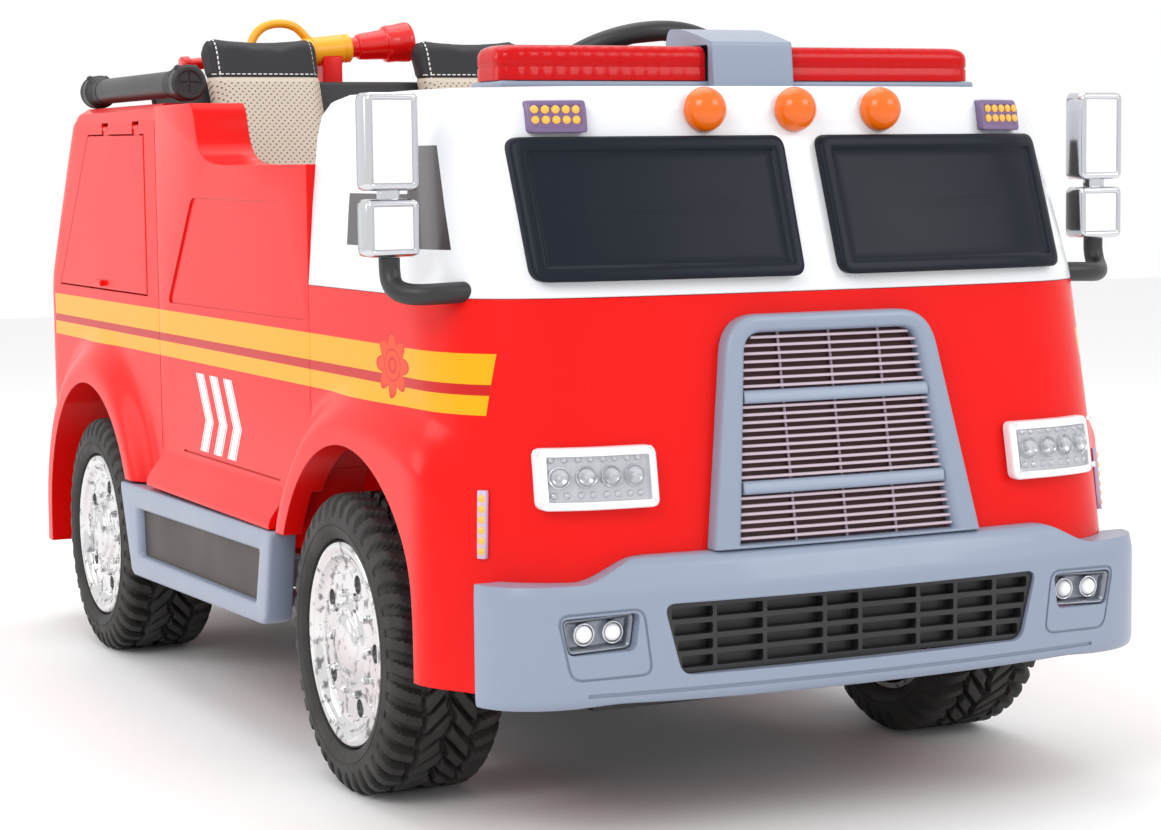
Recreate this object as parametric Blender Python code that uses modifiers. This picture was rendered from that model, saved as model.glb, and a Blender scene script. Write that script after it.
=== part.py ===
"""Two-seat battery fire truck for children: shells, chassis, drive, steering and fittings.

Metres, +Z up. The front faces -Y, so the vehicle's right side is -X.
The origin is on the floor, at the middle of the length and of the width.
"""

import math

import bmesh
import bpy
from mathutils import Matrix, Vector

# ---- driving dimensions -------------------------------------------------------------
GAP = 0.0004  # between touching pieces
WALL = 0.006  # moulded shells

TYRE_R = 0.1305
TYRE_W = 0.107
RIM_R = 0.0905
TYRE_FACE_X = 0.3255  # outer faces of the tyres
WHEEL_X = TYRE_FACE_X - TYRE_W / 2
FRONT_AXLE_Y = -0.359
REAR_AXLE_Y = 0.424
AXLE_R = 0.008

HALF_W = 0.308  # flat sides of the body
FLARE = 0.019  # how far the fenders stand out of them
CAB_SEAM_Y = -0.2535  # joint between the cab and the door section
REAR_SEAM_Y = 0.212  # joint between the door section and the rear body
SHELL_FOOT_Z = 0.128
BELT_Z = 0.436  # red lower cab to white upper cab
CAB_TOP_Z = 0.603
DOOR_SILL_Z = 0.543
DECK_Z = 0.608
SIDE_FOOT_Z = 0.209  # lower edge of the doors, over the steps
CABIN_X = 0.252  # inner faces of the door walls

NOSE_Y = -0.622  # front face at WINDSCREEN_FOOT_Z, on the centre line
NOSE_LEAN = 0.18  # lower down it comes forward by this much per metre
WINDSCREEN_FOOT_Z = 0.449
CORNER_R = 0.112

FRONT_ARCH_Y = -0.380
REAR_ARCH_Y = 0.445
ARCH_Z = 0.1305
FRONT_ARCH_R = 0.1745
REAR_ARCH_R = 0.170
FRONT_WELL_Y = -0.375
FRONT_WELL_R = 0.1855  # the steered tyre sweeps close to this
WELL_X = 0.176  # inner faces of the wheel wells
FRONT_FLARE_R = 0.210

BUMPER_Y = -0.688
BUMPER_X = 0.309
BUMPER_TOP_Z = 0.2365
BUMPER_BAR_Z = 0.2170

FLOOR_Z = 0.168
BENCH_Z = 0.315
SEAT_X = 0.127  # centre line of each seat
SEAT_W = 0.148
SEAT_SLOPE = 0.45  # the backrest goes back this much per metre of height
SEAT_FACE = Vector((0.0, 0.366, 0.642))  # a point on the front faces of the backrests

KINGPIN_X = 0.190
KNUCKLE_ARM = 0.075
TIE_ROD_Y = FRONT_AXLE_Y + KNUCKLE_ARM
TIE_ROD_Z = 0.125
WHEEL_CENTRE = Vector((SEAT_X, -0.015, 0.606))  # steering wheel
COLUMN_AXIS = Vector((0.0, -0.6, -0.8))
STEERING_R = 0.120

ROOT = bpy.context.scene.collection
PARTS = bpy.data.collections.new("fire_truck")
TOOLS = bpy.data.collections.new("cutters")


# ---- modelling helpers --------------------------------------------------------------
def clear_scene():
    for obj in list(bpy.data.objects):
        bpy.data.objects.remove(obj)
    for collection in (PARTS, TOOLS):
        ROOT.children.link(collection)


def paint(name, colour, roughness, metallic=0.0, alpha=1.0):
    material = bpy.data.materials.new(name)
    material.use_nodes = True
    shader = material.node_tree.nodes["Principled BSDF"]
    shader.inputs["Base Color"].default_value = (*colour, 1.0)
    shader.inputs["Roughness"].default_value = roughness
    shader.inputs["Metallic"].default_value = metallic
    shader.inputs["Alpha"].default_value = alpha
    material.diffuse_color = (*colour, alpha)
    return material


def workpiece(mesh):
    """A mesh as an object among the tools, until publish() makes it a part."""
    obj = bpy.data.objects.new(mesh.name, mesh)
    TOOLS.objects.link(obj)
    obj.hide_render = True
    obj.display_type = "WIRE"
    return obj


def from_bmesh(bm, name="piece"):
    bm.normal_update()
    bmesh.ops.recalc_face_normals(bm, faces=bm.faces)
    mesh = bpy.data.meshes.new(name)
    bm.to_mesh(mesh)
    bm.free()
    return workpiece(mesh)


def settle(obj):
    """Applies the modifiers of a workpiece."""
    bpy.context.view_layer.update()
    evaluated = obj.evaluated_get(bpy.context.evaluated_depsgraph_get())
    mesh = bpy.data.meshes.new_from_object(evaluated)
    obj.modifiers.clear()
    obj.data = mesh
    return obj


def publish(obj, name, material, pivot=None, smooth_under=35):
    """Names a workpiece as a part, with its origin on the pivot where it moves."""
    settle(obj)
    mesh = obj.data
    if pivot is not None:
        place = Vector(pivot)
        mesh.transform(Matrix.Translation(-place) @ obj.matrix_world)
        obj.matrix_world = Matrix.Translation(place)
    mesh.shade_smooth()
    mesh.set_sharp_from_angle(angle=math.radians(smooth_under))
    mesh.materials.clear()
    mesh.materials.append(material)
    mesh.name = name
    obj.name = name
    obj.hide_render = False
    obj.display_type = "TEXTURED"
    TOOLS.objects.unlink(obj)
    PARTS.objects.link(obj)
    return obj


def bevel(obj, width, segments=1, angle=30):
    modifier = obj.modifiers.new("rounded edges", "BEVEL")
    modifier.width = width
    modifier.segments = segments
    modifier.limit_method = "ANGLE"
    modifier.angle_limit = math.radians(angle)
    return obj


def combine(obj, tool, operation):
    modifier = obj.modifiers.new(operation.lower(), "BOOLEAN")
    modifier.operation = operation
    modifier.solver = "EXACT"
    modifier.object = tool
    return obj


def cut(obj, *tools):
    for tool in tools:
        combine(obj, tool, "DIFFERENCE")
    return obj


def join(obj, *others):
    for other in others:
        combine(obj, other, "UNION")
    return obj


def box(low, high, rounding=0.0, segments=1):
    bm = bmesh.new()
    bmesh.ops.create_cube(bm, size=1.0)
    low, high = Vector(low), Vector(high)
    bmesh.ops.scale(bm, vec=high - low, verts=bm.verts)
    bmesh.ops.translate(bm, vec=(low + high) / 2, verts=bm.verts)
    obj = from_bmesh(bm)
    if rounding:
        bevel(obj, rounding, segments)
    return obj


def boxes(bounds):
    """Several boxes, which stay apart, as one tool."""
    bm = bmesh.new()
    for low, high in bounds:
        low, high = Vector(low), Vector(high)
        made = bmesh.ops.create_cube(bm, size=1.0)["verts"]
        bmesh.ops.scale(bm, vec=high - low, verts=made)
        bmesh.ops.translate(bm, vec=(low + high) / 2, verts=made)
    return from_bmesh(bm)


def rod(start, end, radius, sides=16, end_radius=None):
    """A cylinder or a cone between two points."""
    start, end = Vector(start), Vector(end)
    axis = end - start
    bm = bmesh.new()
    bmesh.ops.create_cone(
        bm,
        cap_ends=True,
        segments=sides,
        radius1=radius,
        radius2=radius if end_radius is None else end_radius,
        depth=axis.length,
    )
    turn = axis.to_track_quat("Z", "X").to_matrix().to_4x4()
    bm.transform(Matrix.Translation((start + end) / 2) @ turn)
    return from_bmesh(bm)


AXES = {
    "X": Matrix(((0, 0, 1, 0), (1, 0, 0, 0), (0, 1, 0, 0), (0, 0, 0, 1))),
    "Y": Matrix(((1, 0, 0, 0), (0, 0, -1, 0), (0, 1, 0, 0), (0, 0, 0, 1))),
    "Z": Matrix.Identity(4),
}


def prism(outline, axis, low, high, holes=()):
    """A flat outline run along an axis: (y, z) along X, (x, z) along Y or (x, y) along Z."""
    curve = bpy.data.curves.new("outline", "CURVE")
    curve.dimensions = "2D"
    curve.fill_mode = "BOTH"
    curve.extrude = (high - low) / 2
    for points in (outline, *holes):
        spline = curve.splines.new("POLY")
        spline.points.add(len(points) - 1)
        for point, (u, v) in zip(spline.points, points):
            point.co = (u, v, 0, 1)
        spline.use_cyclic_u = True
    source = bpy.data.objects.new("outline", curve)
    TOOLS.objects.link(source)
    bpy.context.view_layer.update()
    evaluated = source.evaluated_get(bpy.context.evaluated_depsgraph_get())
    mesh = bpy.data.meshes.new_from_object(evaluated)
    bpy.data.objects.remove(source)
    bm = bmesh.new()
    bm.from_mesh(mesh)
    bmesh.ops.remove_doubles(bm, verts=bm.verts, dist=1e-6)
    if not holes:
        bmesh.ops.dissolve_limit(bm, angle_limit=0.001, verts=bm.verts, edges=bm.edges)
    middle = (low + high) / 2
    shift = Vector([middle if name == axis else 0.0 for name in "XYZ"])
    bm.transform(Matrix.Translation(shift) @ AXES[axis])
    return from_bmesh(bm)


def loft(rings):
    """A closed solid through rings of equally many points."""
    bm = bmesh.new()
    rows = [[bm.verts.new(point) for point in ring] for ring in rings]
    for lower, upper in zip(rows, rows[1:]):
        for i, corner in enumerate(lower):
            j = (i + 1) % len(lower)
            bm.faces.new((corner, lower[j], upper[j], upper[i]))
    bm.faces.new(rows[0])
    bm.faces.new(rows[-1])
    bmesh.ops.triangulate(bm, faces=bm.faces)
    return from_bmesh(bm)


def turned(profile, steps, place=None):
    """A (radius, height) profile, top to bottom, turned about Z and then placed by a matrix."""
    mesh = bpy.data.meshes.new("profile")
    points = [(radius, 0.0, height) for radius, height in profile]
    closed = profile[0][0] > 0
    edges = [(i, i + 1) for i in range(len(points) - 1)]
    if closed:
        edges.append((len(points) - 1, 0))
    mesh.from_pydata(points, edges, [])
    obj = workpiece(mesh)
    screw = obj.modifiers.new("turned", "SCREW")
    screw.axis = "Z"
    screw.steps = steps
    screw.render_steps = steps
    screw.use_merge_vertices = True
    screw.merge_threshold = 1e-5
    settle(obj)
    bm = bmesh.new()
    bm.from_mesh(obj.data)
    bmesh.ops.remove_doubles(bm, verts=bm.verts, dist=1e-6)
    if place is not None:
        bm.transform(place)
    bm.normal_update()
    bmesh.ops.recalc_face_normals(bm, faces=bm.faces)
    bm.to_mesh(obj.data)
    bm.free()
    return obj


def pipe(points, radius, sides=10):
    """A round tube with closed ends along a list of points, as a mesh."""
    curve = bpy.data.curves.new("pipe", "CURVE")
    curve.dimensions = "3D"
    curve.bevel_depth = radius
    curve.bevel_resolution = sides // 2 - 2
    curve.use_fill_caps = True
    spline = curve.splines.new("POLY")
    spline.points.add(len(points) - 1)
    for point, place in zip(spline.points, points):
        point.co = (*place, 1)
    source = bpy.data.objects.new("pipe", curve)
    TOOLS.objects.link(source)
    bpy.context.view_layer.update()
    evaluated = source.evaluated_get(bpy.context.evaluated_depsgraph_get())
    mesh = bpy.data.meshes.new_from_object(evaluated)
    bpy.data.objects.remove(source)
    bm = bmesh.new()
    bm.from_mesh(mesh)
    bmesh.ops.remove_doubles(bm, verts=bm.verts, dist=1e-6)
    return from_bmesh(bm)


def ball(centre, radius, sides=12, stretch=(1, 1, 1)):
    bm = bmesh.new()
    bmesh.ops.create_uvsphere(bm, u_segments=sides, v_segments=sides // 2, radius=radius)
    bmesh.ops.scale(bm, vec=stretch, verts=bm.verts)
    bmesh.ops.translate(bm, vec=centre, verts=bm.verts)
    return from_bmesh(bm)


def arc(centre, radius, start, end, steps):
    """Points on a circle, with the angles in degrees."""
    angles = [math.radians(start + (end - start) * i / steps) for i in range(steps + 1)]
    return [(centre[0] + radius * math.cos(a), centre[1] + radius * math.sin(a)) for a in angles]


def rounded(corners, radius, steps=3):
    """A polygon with each corner replaced by a quadratic curve that starts radius away from it."""
    outline = []
    for i, corner in enumerate(corners):
        here = Vector(corner)
        before = Vector(corners[i - 1]) - here
        after = Vector(corners[(i + 1) % len(corners)]) - here
        first = here + before.normalized() * radius
        last = here + after.normalized() * radius
        for k in range(steps + 1):
            t = k / steps
            point = first * (1 - t) ** 2 + here * (2 * t * (1 - t)) + last * t**2
            outline.append((point.x, point.y))
    return outline


def inset(corners, distance):
    """A convex polygon moved inwards by a distance, or outwards by a negative one."""
    points = [Vector(corner) for corner in corners]
    middle = sum(points, Vector((0, 0))) / len(points)
    lines = []
    for start, end in zip(points, points[1:] + points[:1]):
        normal = Vector((start.y - end.y, end.x - start.x)).normalized()
        if normal.dot(middle - start) < 0:
            normal.negate()
        lines.append((normal, normal.dot(start) + distance))
    moved = []
    for (n0, d0), (n1, d1) in zip(lines[-1:] + lines[:-1], lines):
        det = n0.x * n1.y - n0.y * n1.x
        moved.append(((d0 * n1.y - d1 * n0.y) / det, (n0.x * d1 - n1.x * d0) / det))
    return moved


def mirrored(outline):
    return [(-u, v) for u, v in reversed(outline)]


def sided(outline, side):
    """An (x, z) outline drawn for +X, on the side asked for."""
    return outline if side > 0 else mirrored(outline)


def blend(value):
    """Smooth step from 0 to 1."""
    value = min(max(value, 0.0), 1.0)
    return value * value * (3 - 2 * value)


def between(value, table):
    """Straight-line interpolation in a list of (key, value) pairs in rising order."""
    if value <= table[0][0]:
        return table[0][1]
    for (low, first), (high, second) in zip(table, table[1:]):
        if value <= high:
            return first + (second - first) * (value - low) / (high - low)
    return table[-1][1]


# ---- the outer surface of the body --------------------------------------------------
UPPER_NOSE = [(BELT_Z, -0.6245), (0.449, -0.622), (0.566, -0.581), (0.585, -0.578),
              (0.597, -0.573), (CAB_TOP_Z, -0.562)]
UPPER_WIDTH = [(BELT_Z, HALF_W), (0.505, 0.303), (0.566, 0.297), (0.585, 0.294),
               (0.597, 0.288), (CAB_TOP_Z, 0.277)]
UPPER_TAIL = [(0.566, CAB_SEAM_Y), (0.585, -0.258), (0.597, -0.268), (CAB_TOP_Z, -0.285)]


def nose_y(z):
    """The front face on the centre line."""
    if z >= BELT_Z:
        return between(z, UPPER_NOSE)
    return NOSE_Y - NOSE_LEAN * (WINDSCREEN_FOOT_Z - z)


def half_width(z):
    return between(z, UPPER_WIDTH)


def nose_bow(z):
    """The front face falls back by this times x squared."""
    return between(z, [(0.30, 0.20), (0.45, 0.28), (CAB_TOP_Z, 0.30)])


def corner_curve(z, radius=CORNER_R):
    """Start on the side, corner point and end on the front of the corner's quadratic curve."""
    width, bow = half_width(z), nose_bow(z)
    end = Vector((width - radius, nose_y(z) + bow * (width - radius) ** 2))
    corner = Vector((width, end.y + 2 * bow * end.x * radius))
    return Vector((width, corner.y + radius)), corner, end


def front_surface(x, z):
    """y of the cab's front at a place across it."""
    start, corner, end = corner_curve(z)
    x = abs(x)
    if x <= end.x:
        return nose_y(z) + nose_bow(z) * x * x
    t = math.sqrt(max(start.x - x, 0.0) / (start.x - end.x))
    return start.y * (1 - t) ** 2 + corner.y * 2 * t * (1 - t) + end.y * t * t


def front_flare(y, z):
    """Height of the front fender over the side; it runs out wide towards the nose."""
    along = y - FRONT_ARCH_Y
    if along < 0:
        along *= 0.6
    reach = math.hypot(along, max(z - ARCH_Z, 0.0))
    return FLARE * blend((0.230 - reach) / 0.038) * blend((y + 0.602) / 0.060)


def rear_flare(y, z):
    reach = math.hypot(y - REAR_ARCH_Y, max(z - ARCH_Z, 0.0))
    return FLARE * blend((0.228 - reach) / 0.042)


def corner_place(z, t):
    """A place on the flared corner at one height, and the way out of it."""
    start, corner, end = corner_curve(z)
    point = start * (1 - t) ** 2 + corner * (2 * t * (1 - t)) + end * t * t
    slope = (corner - start) * (1 - t) + (end - corner) * t
    normal = Vector((-slope.y, slope.x)).normalized()
    return point + normal * front_flare(point.y, z) * blend((abs(normal.x) - 0.45) / 0.5), normal


def nose_ring(z, shrink=0.0, tail=None, flared=False, sides=12, corners=6, fronts=4):
    """The cab's plan outline at one height, from one rear corner round the nose to the other."""
    start, corner, end = corner_curve(z)
    tail = between(z, UPPER_TAIL) if tail is None else tail
    half = []
    for i in range(sides):
        half.append((Vector((start.x, tail + (start.y - tail) * i / sides)), Vector((1, 0))))
    for i in range(corners):
        t = i / corners
        point = start * (1 - t) ** 2 + corner * (2 * t * (1 - t)) + end * t * t
        slope = (corner - start) * (1 - t) + (end - corner) * t
        half.append((point, Vector((-slope.y, slope.x)).normalized()))
    for i in range(fronts + 1):
        x = end.x * (1 - i / fronts)
        normal = Vector((2 * nose_bow(z) * x, -1)).normalized()
        half.append((Vector((x, nose_y(z) + nose_bow(z) * x * x)), normal))
    ring = []
    for point, normal in half:
        out = -shrink
        if flared:
            out += front_flare(point.y, z) * blend((abs(normal.x) - 0.45) / 0.5)
        ring.append(point + normal * out)
    points = [(p.x, p.y, z) for p in ring]
    return points + [(-x, y, z) for x, y, z in reversed(points[:-1])]


REAR_FACE = [(0.40, 0.688), (0.42, 0.682), (0.55, 0.600), (0.590, 0.572), (0.602, 0.560),
             (DECK_Z, 0.548)]
REAR_WIDTH = [(0.590, HALF_W), (0.602, HALF_W - 0.004), (DECK_Z, HALF_W - 0.012)]
REAR_CORNER_R = 0.045


def tail_ring(z, shrink=0.0, front=REAR_SEAM_Y + GAP, flared=False, sides=14, corners=4):
    """The rear body's plan outline at one height."""
    width = between(z, REAR_WIDTH) - shrink
    back = between(z, REAR_FACE) - shrink
    start = Vector((width, back - REAR_CORNER_R))
    corner = Vector((width, back))
    end = Vector((width - REAR_CORNER_R, back))
    half = []
    for i in range(sides):
        half.append((Vector((width, front + (start.y - front) * i / sides)), Vector((1, 0))))
    for i in range(corners + 1):
        t = i / corners
        point = start * (1 - t) ** 2 + corner * (2 * t * (1 - t)) + end * t * t
        slope = (corner - start) * (1 - t) + (end - corner) * t
        half.append((point, Vector((slope.y, -slope.x)).normalized()))
    points = []
    for point, normal in half:
        out = rear_flare(point.y, z) * math.sqrt(abs(normal.x)) if flared else 0.0
        points.append((point.x + normal.x * out, point.y + normal.y * out, z))
    return points + [(-x, y, z) for x, y, z in reversed(points)]


def arch(centre_y, radius, foot=0.03, steps=20):
    """A wheel arch in (y, z): a half circle over the hub on straight legs."""
    top = arc((centre_y, ARCH_Z), radius, 0, 180, steps)
    return top + [(centre_y - radius, foot), (centre_y + radius, foot)]


def both_sides(outline, low, high):
    """A side outline run across the vehicle on both sides, as two tools."""
    return [prism(outline, "X", low, high), prism(outline, "X", -high, -low)]


def drape(obj, step=0.04, reach=0.32):
    """Bends a piece drawn flat against y = 0 so that it follows the front face."""
    settle(obj)
    bm = bmesh.new()
    bm.from_mesh(obj.data)
    places = [k * step for k in range(int(-reach / step), int(reach / step) + 1)]
    for x in places:
        geometry = bm.verts[:] + bm.edges[:] + bm.faces[:]
        bmesh.ops.bisect_plane(bm, geom=geometry, plane_co=(x, 0, 0), plane_no=(1, 0, 0), dist=1e-5)
    bmesh.ops.dissolve_degenerate(bm, dist=2e-5, edges=bm.edges)
    bmesh.ops.triangulate(bm, faces=bm.faces)
    for vert in bm.verts:
        vert.co.y += front_surface(vert.co.x, vert.co.z)
    bm.to_mesh(obj.data)
    bm.free()
    return obj


# ---- body shells --------------------------------------------------------------------
LOWER_LEVELS = [SHELL_FOOT_Z, 0.16, 0.19, 0.215, 0.24, 0.262, 0.282, 0.30, 0.317, 0.334, 0.35,
                0.366, 0.40, BELT_Z]
UPPER_LEVELS = [BELT_Z + GAP, 0.449, 0.505, 0.566, 0.585, 0.597, CAB_TOP_Z]
REAR_LEVELS = [0.100, 0.14, 0.18, 0.215, 0.24, 0.27, 0.29, 0.31, 0.33, 0.345, 0.36, 0.42, 0.55,
               0.590, 0.602, DECK_Z]


def build_cab_lower(material):
    flare_tail_y = -0.183
    shell = loft([nose_ring(z, tail=flare_tail_y, flared=True) for z in LOWER_LEVELS])
    hollow = loft([nose_ring(z, WALL, tail=0.0, sides=2) for z in (0.06, 0.30, 0.47)])
    liners = both_sides(arch(FRONT_WELL_Y, FRONT_WELL_R + 0.005), WELL_X - 0.005, 0.40)
    cut(hollow, *liners)
    settle(hollow)
    cut(shell, hollow)
    cut(shell, *both_sides(arch(FRONT_WELL_Y, FRONT_WELL_R), WELL_X, 0.299))
    cut(shell, *both_sides(arch(FRONT_ARCH_Y, FRONT_ARCH_R), 0.29, 0.40))
    # The well's inner wall stops over the axle.
    cut(shell, box((-0.21, -0.60, 0.0), (0.21, -0.10, 0.192)))
    # The bumper's grille and fog lamps stand in this opening.
    cut(shell, box((-0.264, -0.72, 0.05), (0.264, -0.654, 0.2035)))
    # Behind the seam only the tail of the fender is left, over the door section.
    rim = FRONT_FLARE_R
    seam_angle = math.degrees(math.acos((CAB_SEAM_Y - FRONT_ARCH_Y) / rim))
    foot_angle = math.degrees(math.asin((SIDE_FOOT_Z - ARCH_Z) / rim))
    behind = arc((FRONT_ARCH_Y, ARCH_Z), rim, foot_angle, seam_angle, 8)
    behind += [(CAB_SEAM_Y, 0.50), (-0.10, 0.50), (-0.10, 0.05), (CAB_SEAM_Y, 0.05)]
    behind += [(CAB_SEAM_Y, SIDE_FOOT_Z)]
    cut(shell, prism(behind, "X", -0.40, 0.40))
    cut(shell, box((-HALF_W - GAP, CAB_SEAM_Y, 0.05), (HALF_W + GAP, -0.10, 0.50)))
    return publish(shell, "cab_lower", material)


def build_cab_upper(material):
    shell = loft([nose_ring(z, sides=3) for z in UPPER_LEVELS])
    inner_tail = CAB_SEAM_Y - 0.0085
    hollow = loft([nose_ring(z, WALL, tail=inner_tail, sides=2) for z in (0.40, 0.449, 0.566)]
                  + [nose_ring(0.588, WALL, tail=-0.268, sides=2)]
                  + [nose_ring(CAB_TOP_Z - WALL, WALL + 0.003, tail=-0.276, sides=2)])
    cut(shell, hollow)
    # The dashboard fills this opening in the rear wall.
    cut(shell, box((-0.284, -0.275, 0.40), (0.284, -0.24, 0.576)))
    for x in LAMP_XS:
        cut(shell, rod((x, -0.62, LAMP_Z), (x, -0.52, LAMP_Z), 0.0075, 10))
    return publish(shell, "cab_upper", material)


DOOR_EDGE = [(-0.02, DOOR_SILL_Z), (0.017, 0.5445), (0.043, 0.549), (0.060, 0.558),
             (0.070, 0.573), (0.077, 0.596), (0.086, DECK_Z - 0.003)]


def build_middle_body(material):
    front, back = CAB_SEAM_Y + GAP, REAR_SEAM_Y
    outline = [(front, SIDE_FOOT_Z), (front, DOOR_SILL_Z)] + DOOR_EDGE
    outline += [(back, DECK_Z - 0.003), (back, SIDE_FOOT_Z)]
    channel = [(-0.176, 0.10), (-0.176, 0.30), (front + WALL, 0.30)]
    channel += [(front + WALL, DOOR_SILL_Z - WALL)]
    channel += [(y + 0.005, z - WALL) for y, z in DOOR_EDGE]
    channel += [(back - WALL, DECK_Z - 0.003 - WALL), (back - WALL, 0.10)]
    relief = rounded([(0.090, 0.511), (-0.184, 0.509), (-0.242, 0.404), (0.179, 0.402)], 0.008, 2)
    tub = box((-CABIN_X - 0.01, -0.184, FLOOR_Z), (CABIN_X + 0.01, back, FLOOR_Z + WALL))
    join(tub, box((-0.166, -0.50, FLOOR_Z), (0.166, -0.18, FLOOR_Z + WALL)))
    join(tub, box((-CABIN_X - 0.01, 0.020, FLOOR_Z + 0.002), (CABIN_X + 0.01, 0.026, BENCH_Z)))
    join(tub, box((-CABIN_X - 0.01, 0.020, BENCH_Z - WALL), (CABIN_X + 0.01, back, BENCH_Z)))
    settle(tub)
    for side in (1, -1):
        low, high = sorted((side * CABIN_X, side * HALF_W))
        wall = prism(outline, "X", low, high)
        bevel(wall, 0.006, 2)
        hollow_low, hollow_high = sorted((side * (CABIN_X + WALL), side * (HALF_W - WALL)))
        cut(wall, prism(channel, "X", hollow_low, hollow_high))
        sill = [(0.303, 0.243), (HALF_W, 0.243), (0.3265, 0.2115), (0.3265, SIDE_FOOT_Z),
                (0.303, SIDE_FOOT_Z)]
        join(wall, prism(sided(sill, side), "Y", -0.1825, back))
        relief_low, relief_high = sorted((side * (HALF_W - 0.0016), side * 0.33))
        cut(wall, prism(relief, "X", relief_low, relief_high))
        settle(wall)
        join(tub, wall)
    cut(tub, *both_sides(arch(FRONT_WELL_Y, FRONT_WELL_R + 0.001), 0.17, 0.40))
    column_hole = rod(column_point(0.50), column_point(0.58), 0.0125, 14)
    cut(tub, column_hole)
    lugs = boxes([((PEDAL_AT.x + low, PEDAL_AT.y - 0.007, FLOOR_Z + 0.002),
                   (PEDAL_AT.x + high, PEDAL_AT.y + 0.007, PEDAL_AT.z + 0.008))
                  for low, high in ((-0.0300, -0.0255), (0.0255, 0.0300))])
    join(tub, lugs)
    settle(tub)
    pin_x = PEDAL_AT.x
    cut(tub, rod((pin_x - 0.05, PEDAL_AT.y, PEDAL_AT.z), (pin_x + 0.05, PEDAL_AT.y, PEDAL_AT.z), 0.0036, 14))
    return publish(tub, "middle_body", material)


HATCH = [(0.2535, 0.4065), (0.2535, 0.5755), (0.4740, 0.5775), (0.6120, 0.4065)]
HATCH_GAP = 0.0012
HINGE_YS = (0.283, 0.403)
HINGE_Z = 0.5840
HINGE_X = HALF_W - 0.0035


def build_rear_body(material):
    shell = loft([tail_ring(z, flared=True) for z in REAR_LEVELS])
    # The side steps tuck in under the front feet of the fenders.
    cut(shell, box((-0.40, 0.19, 0.05), (0.40, 0.3135, 0.2068)))
    settle(shell)
    hollow = loft([tail_ring(z, WALL, front=0.10, sides=2) for z in (0.03, 0.40, 0.42, 0.55, 0.588)]
                  + [tail_ring(DECK_Z - WALL, WALL, front=0.10, sides=2)])
    cut(hollow, *both_sides(arch(REAR_ARCH_Y, REAR_ARCH_R + 0.005), WELL_X - 0.005, 0.40))
    cut(hollow, box((-CABIN_X - WALL, 0.0, BENCH_Z - WALL), (CABIN_X + WALL, 0.431, 0.70)))
    settle(hollow)
    cut(shell, hollow)
    cut(shell, *both_sides(arch(REAR_ARCH_Y, REAR_ARCH_R), WELL_X, 0.40))
    cut(shell, box((-CABIN_X, 0.0, BENCH_Z), (CABIN_X, 0.425, 0.70)))
    cut(shell, box((-0.19, 0.23, 0.0), (0.19, 0.66, 0.192)))
    cut(shell, box((-0.16, 0.20, 0.0), (0.16, 0.24, BENCH_Z - WALL - 0.001)))
    for side in (1, -1):
        low, high = sorted((side * 0.29, side * 0.34))
        cut(shell, prism(inset(HATCH, -HATCH_GAP), "X", low, high))
        for y in HINGE_YS:
            pocket_low, pocket_high = sorted((side * (HINGE_X - 0.0055), side * 0.34))
            cut(shell, box((pocket_low, y - 0.0125, 0.575), (pocket_high, y + 0.0125, 0.5905)))
    cradle = boxes([((GUN_X0 + 0.080, 0.440, DECK_Z - 0.003), (GUN_X0 + 0.096, 0.460, 0.6640)),
                    ((GUN_X0 + 0.166, 0.434, DECK_Z - 0.003), (GUN_X0 + 0.190, 0.466, 0.6680))])
    join(shell, cradle)
    settle(shell)
    cut(shell, rod(gun_point(-0.02), gun_point(0.13), GUN_TAIL_R + 0.0008, 14))
    cut(shell, rod(gun_point(0.145), gun_point(0.21), GUN_GRIP_R + 0.0005, 20))
    return publish(shell, "rear_body", material)


# ---- fittings on the front ----------------------------------------------------------
LAMP_XS = (-0.083, 0.0, 0.083)
LAMP_Z = 0.5835


def build_windscreens(material):
    for side, name in ((-1, "windscreen_right"), (1, "windscreen_left")):
        outer = [(0.0175, 0.449), (0.248, 0.449), (0.250, 0.5625), (0.0165, 0.5625)]
        inner = inset(outer, 0.0115)
        frame = prism(sided(rounded(outer, 0.011, 3), side), "Y", -0.0105, -0.0020)
        bevel(frame, 0.003, 1)
        settle(frame)
        cut(frame, prism(sided(rounded(inner, 0.007, 2), side), "Y", -0.02, -0.0075))
        publish(drape(frame, step=0.032), name, material)


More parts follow.
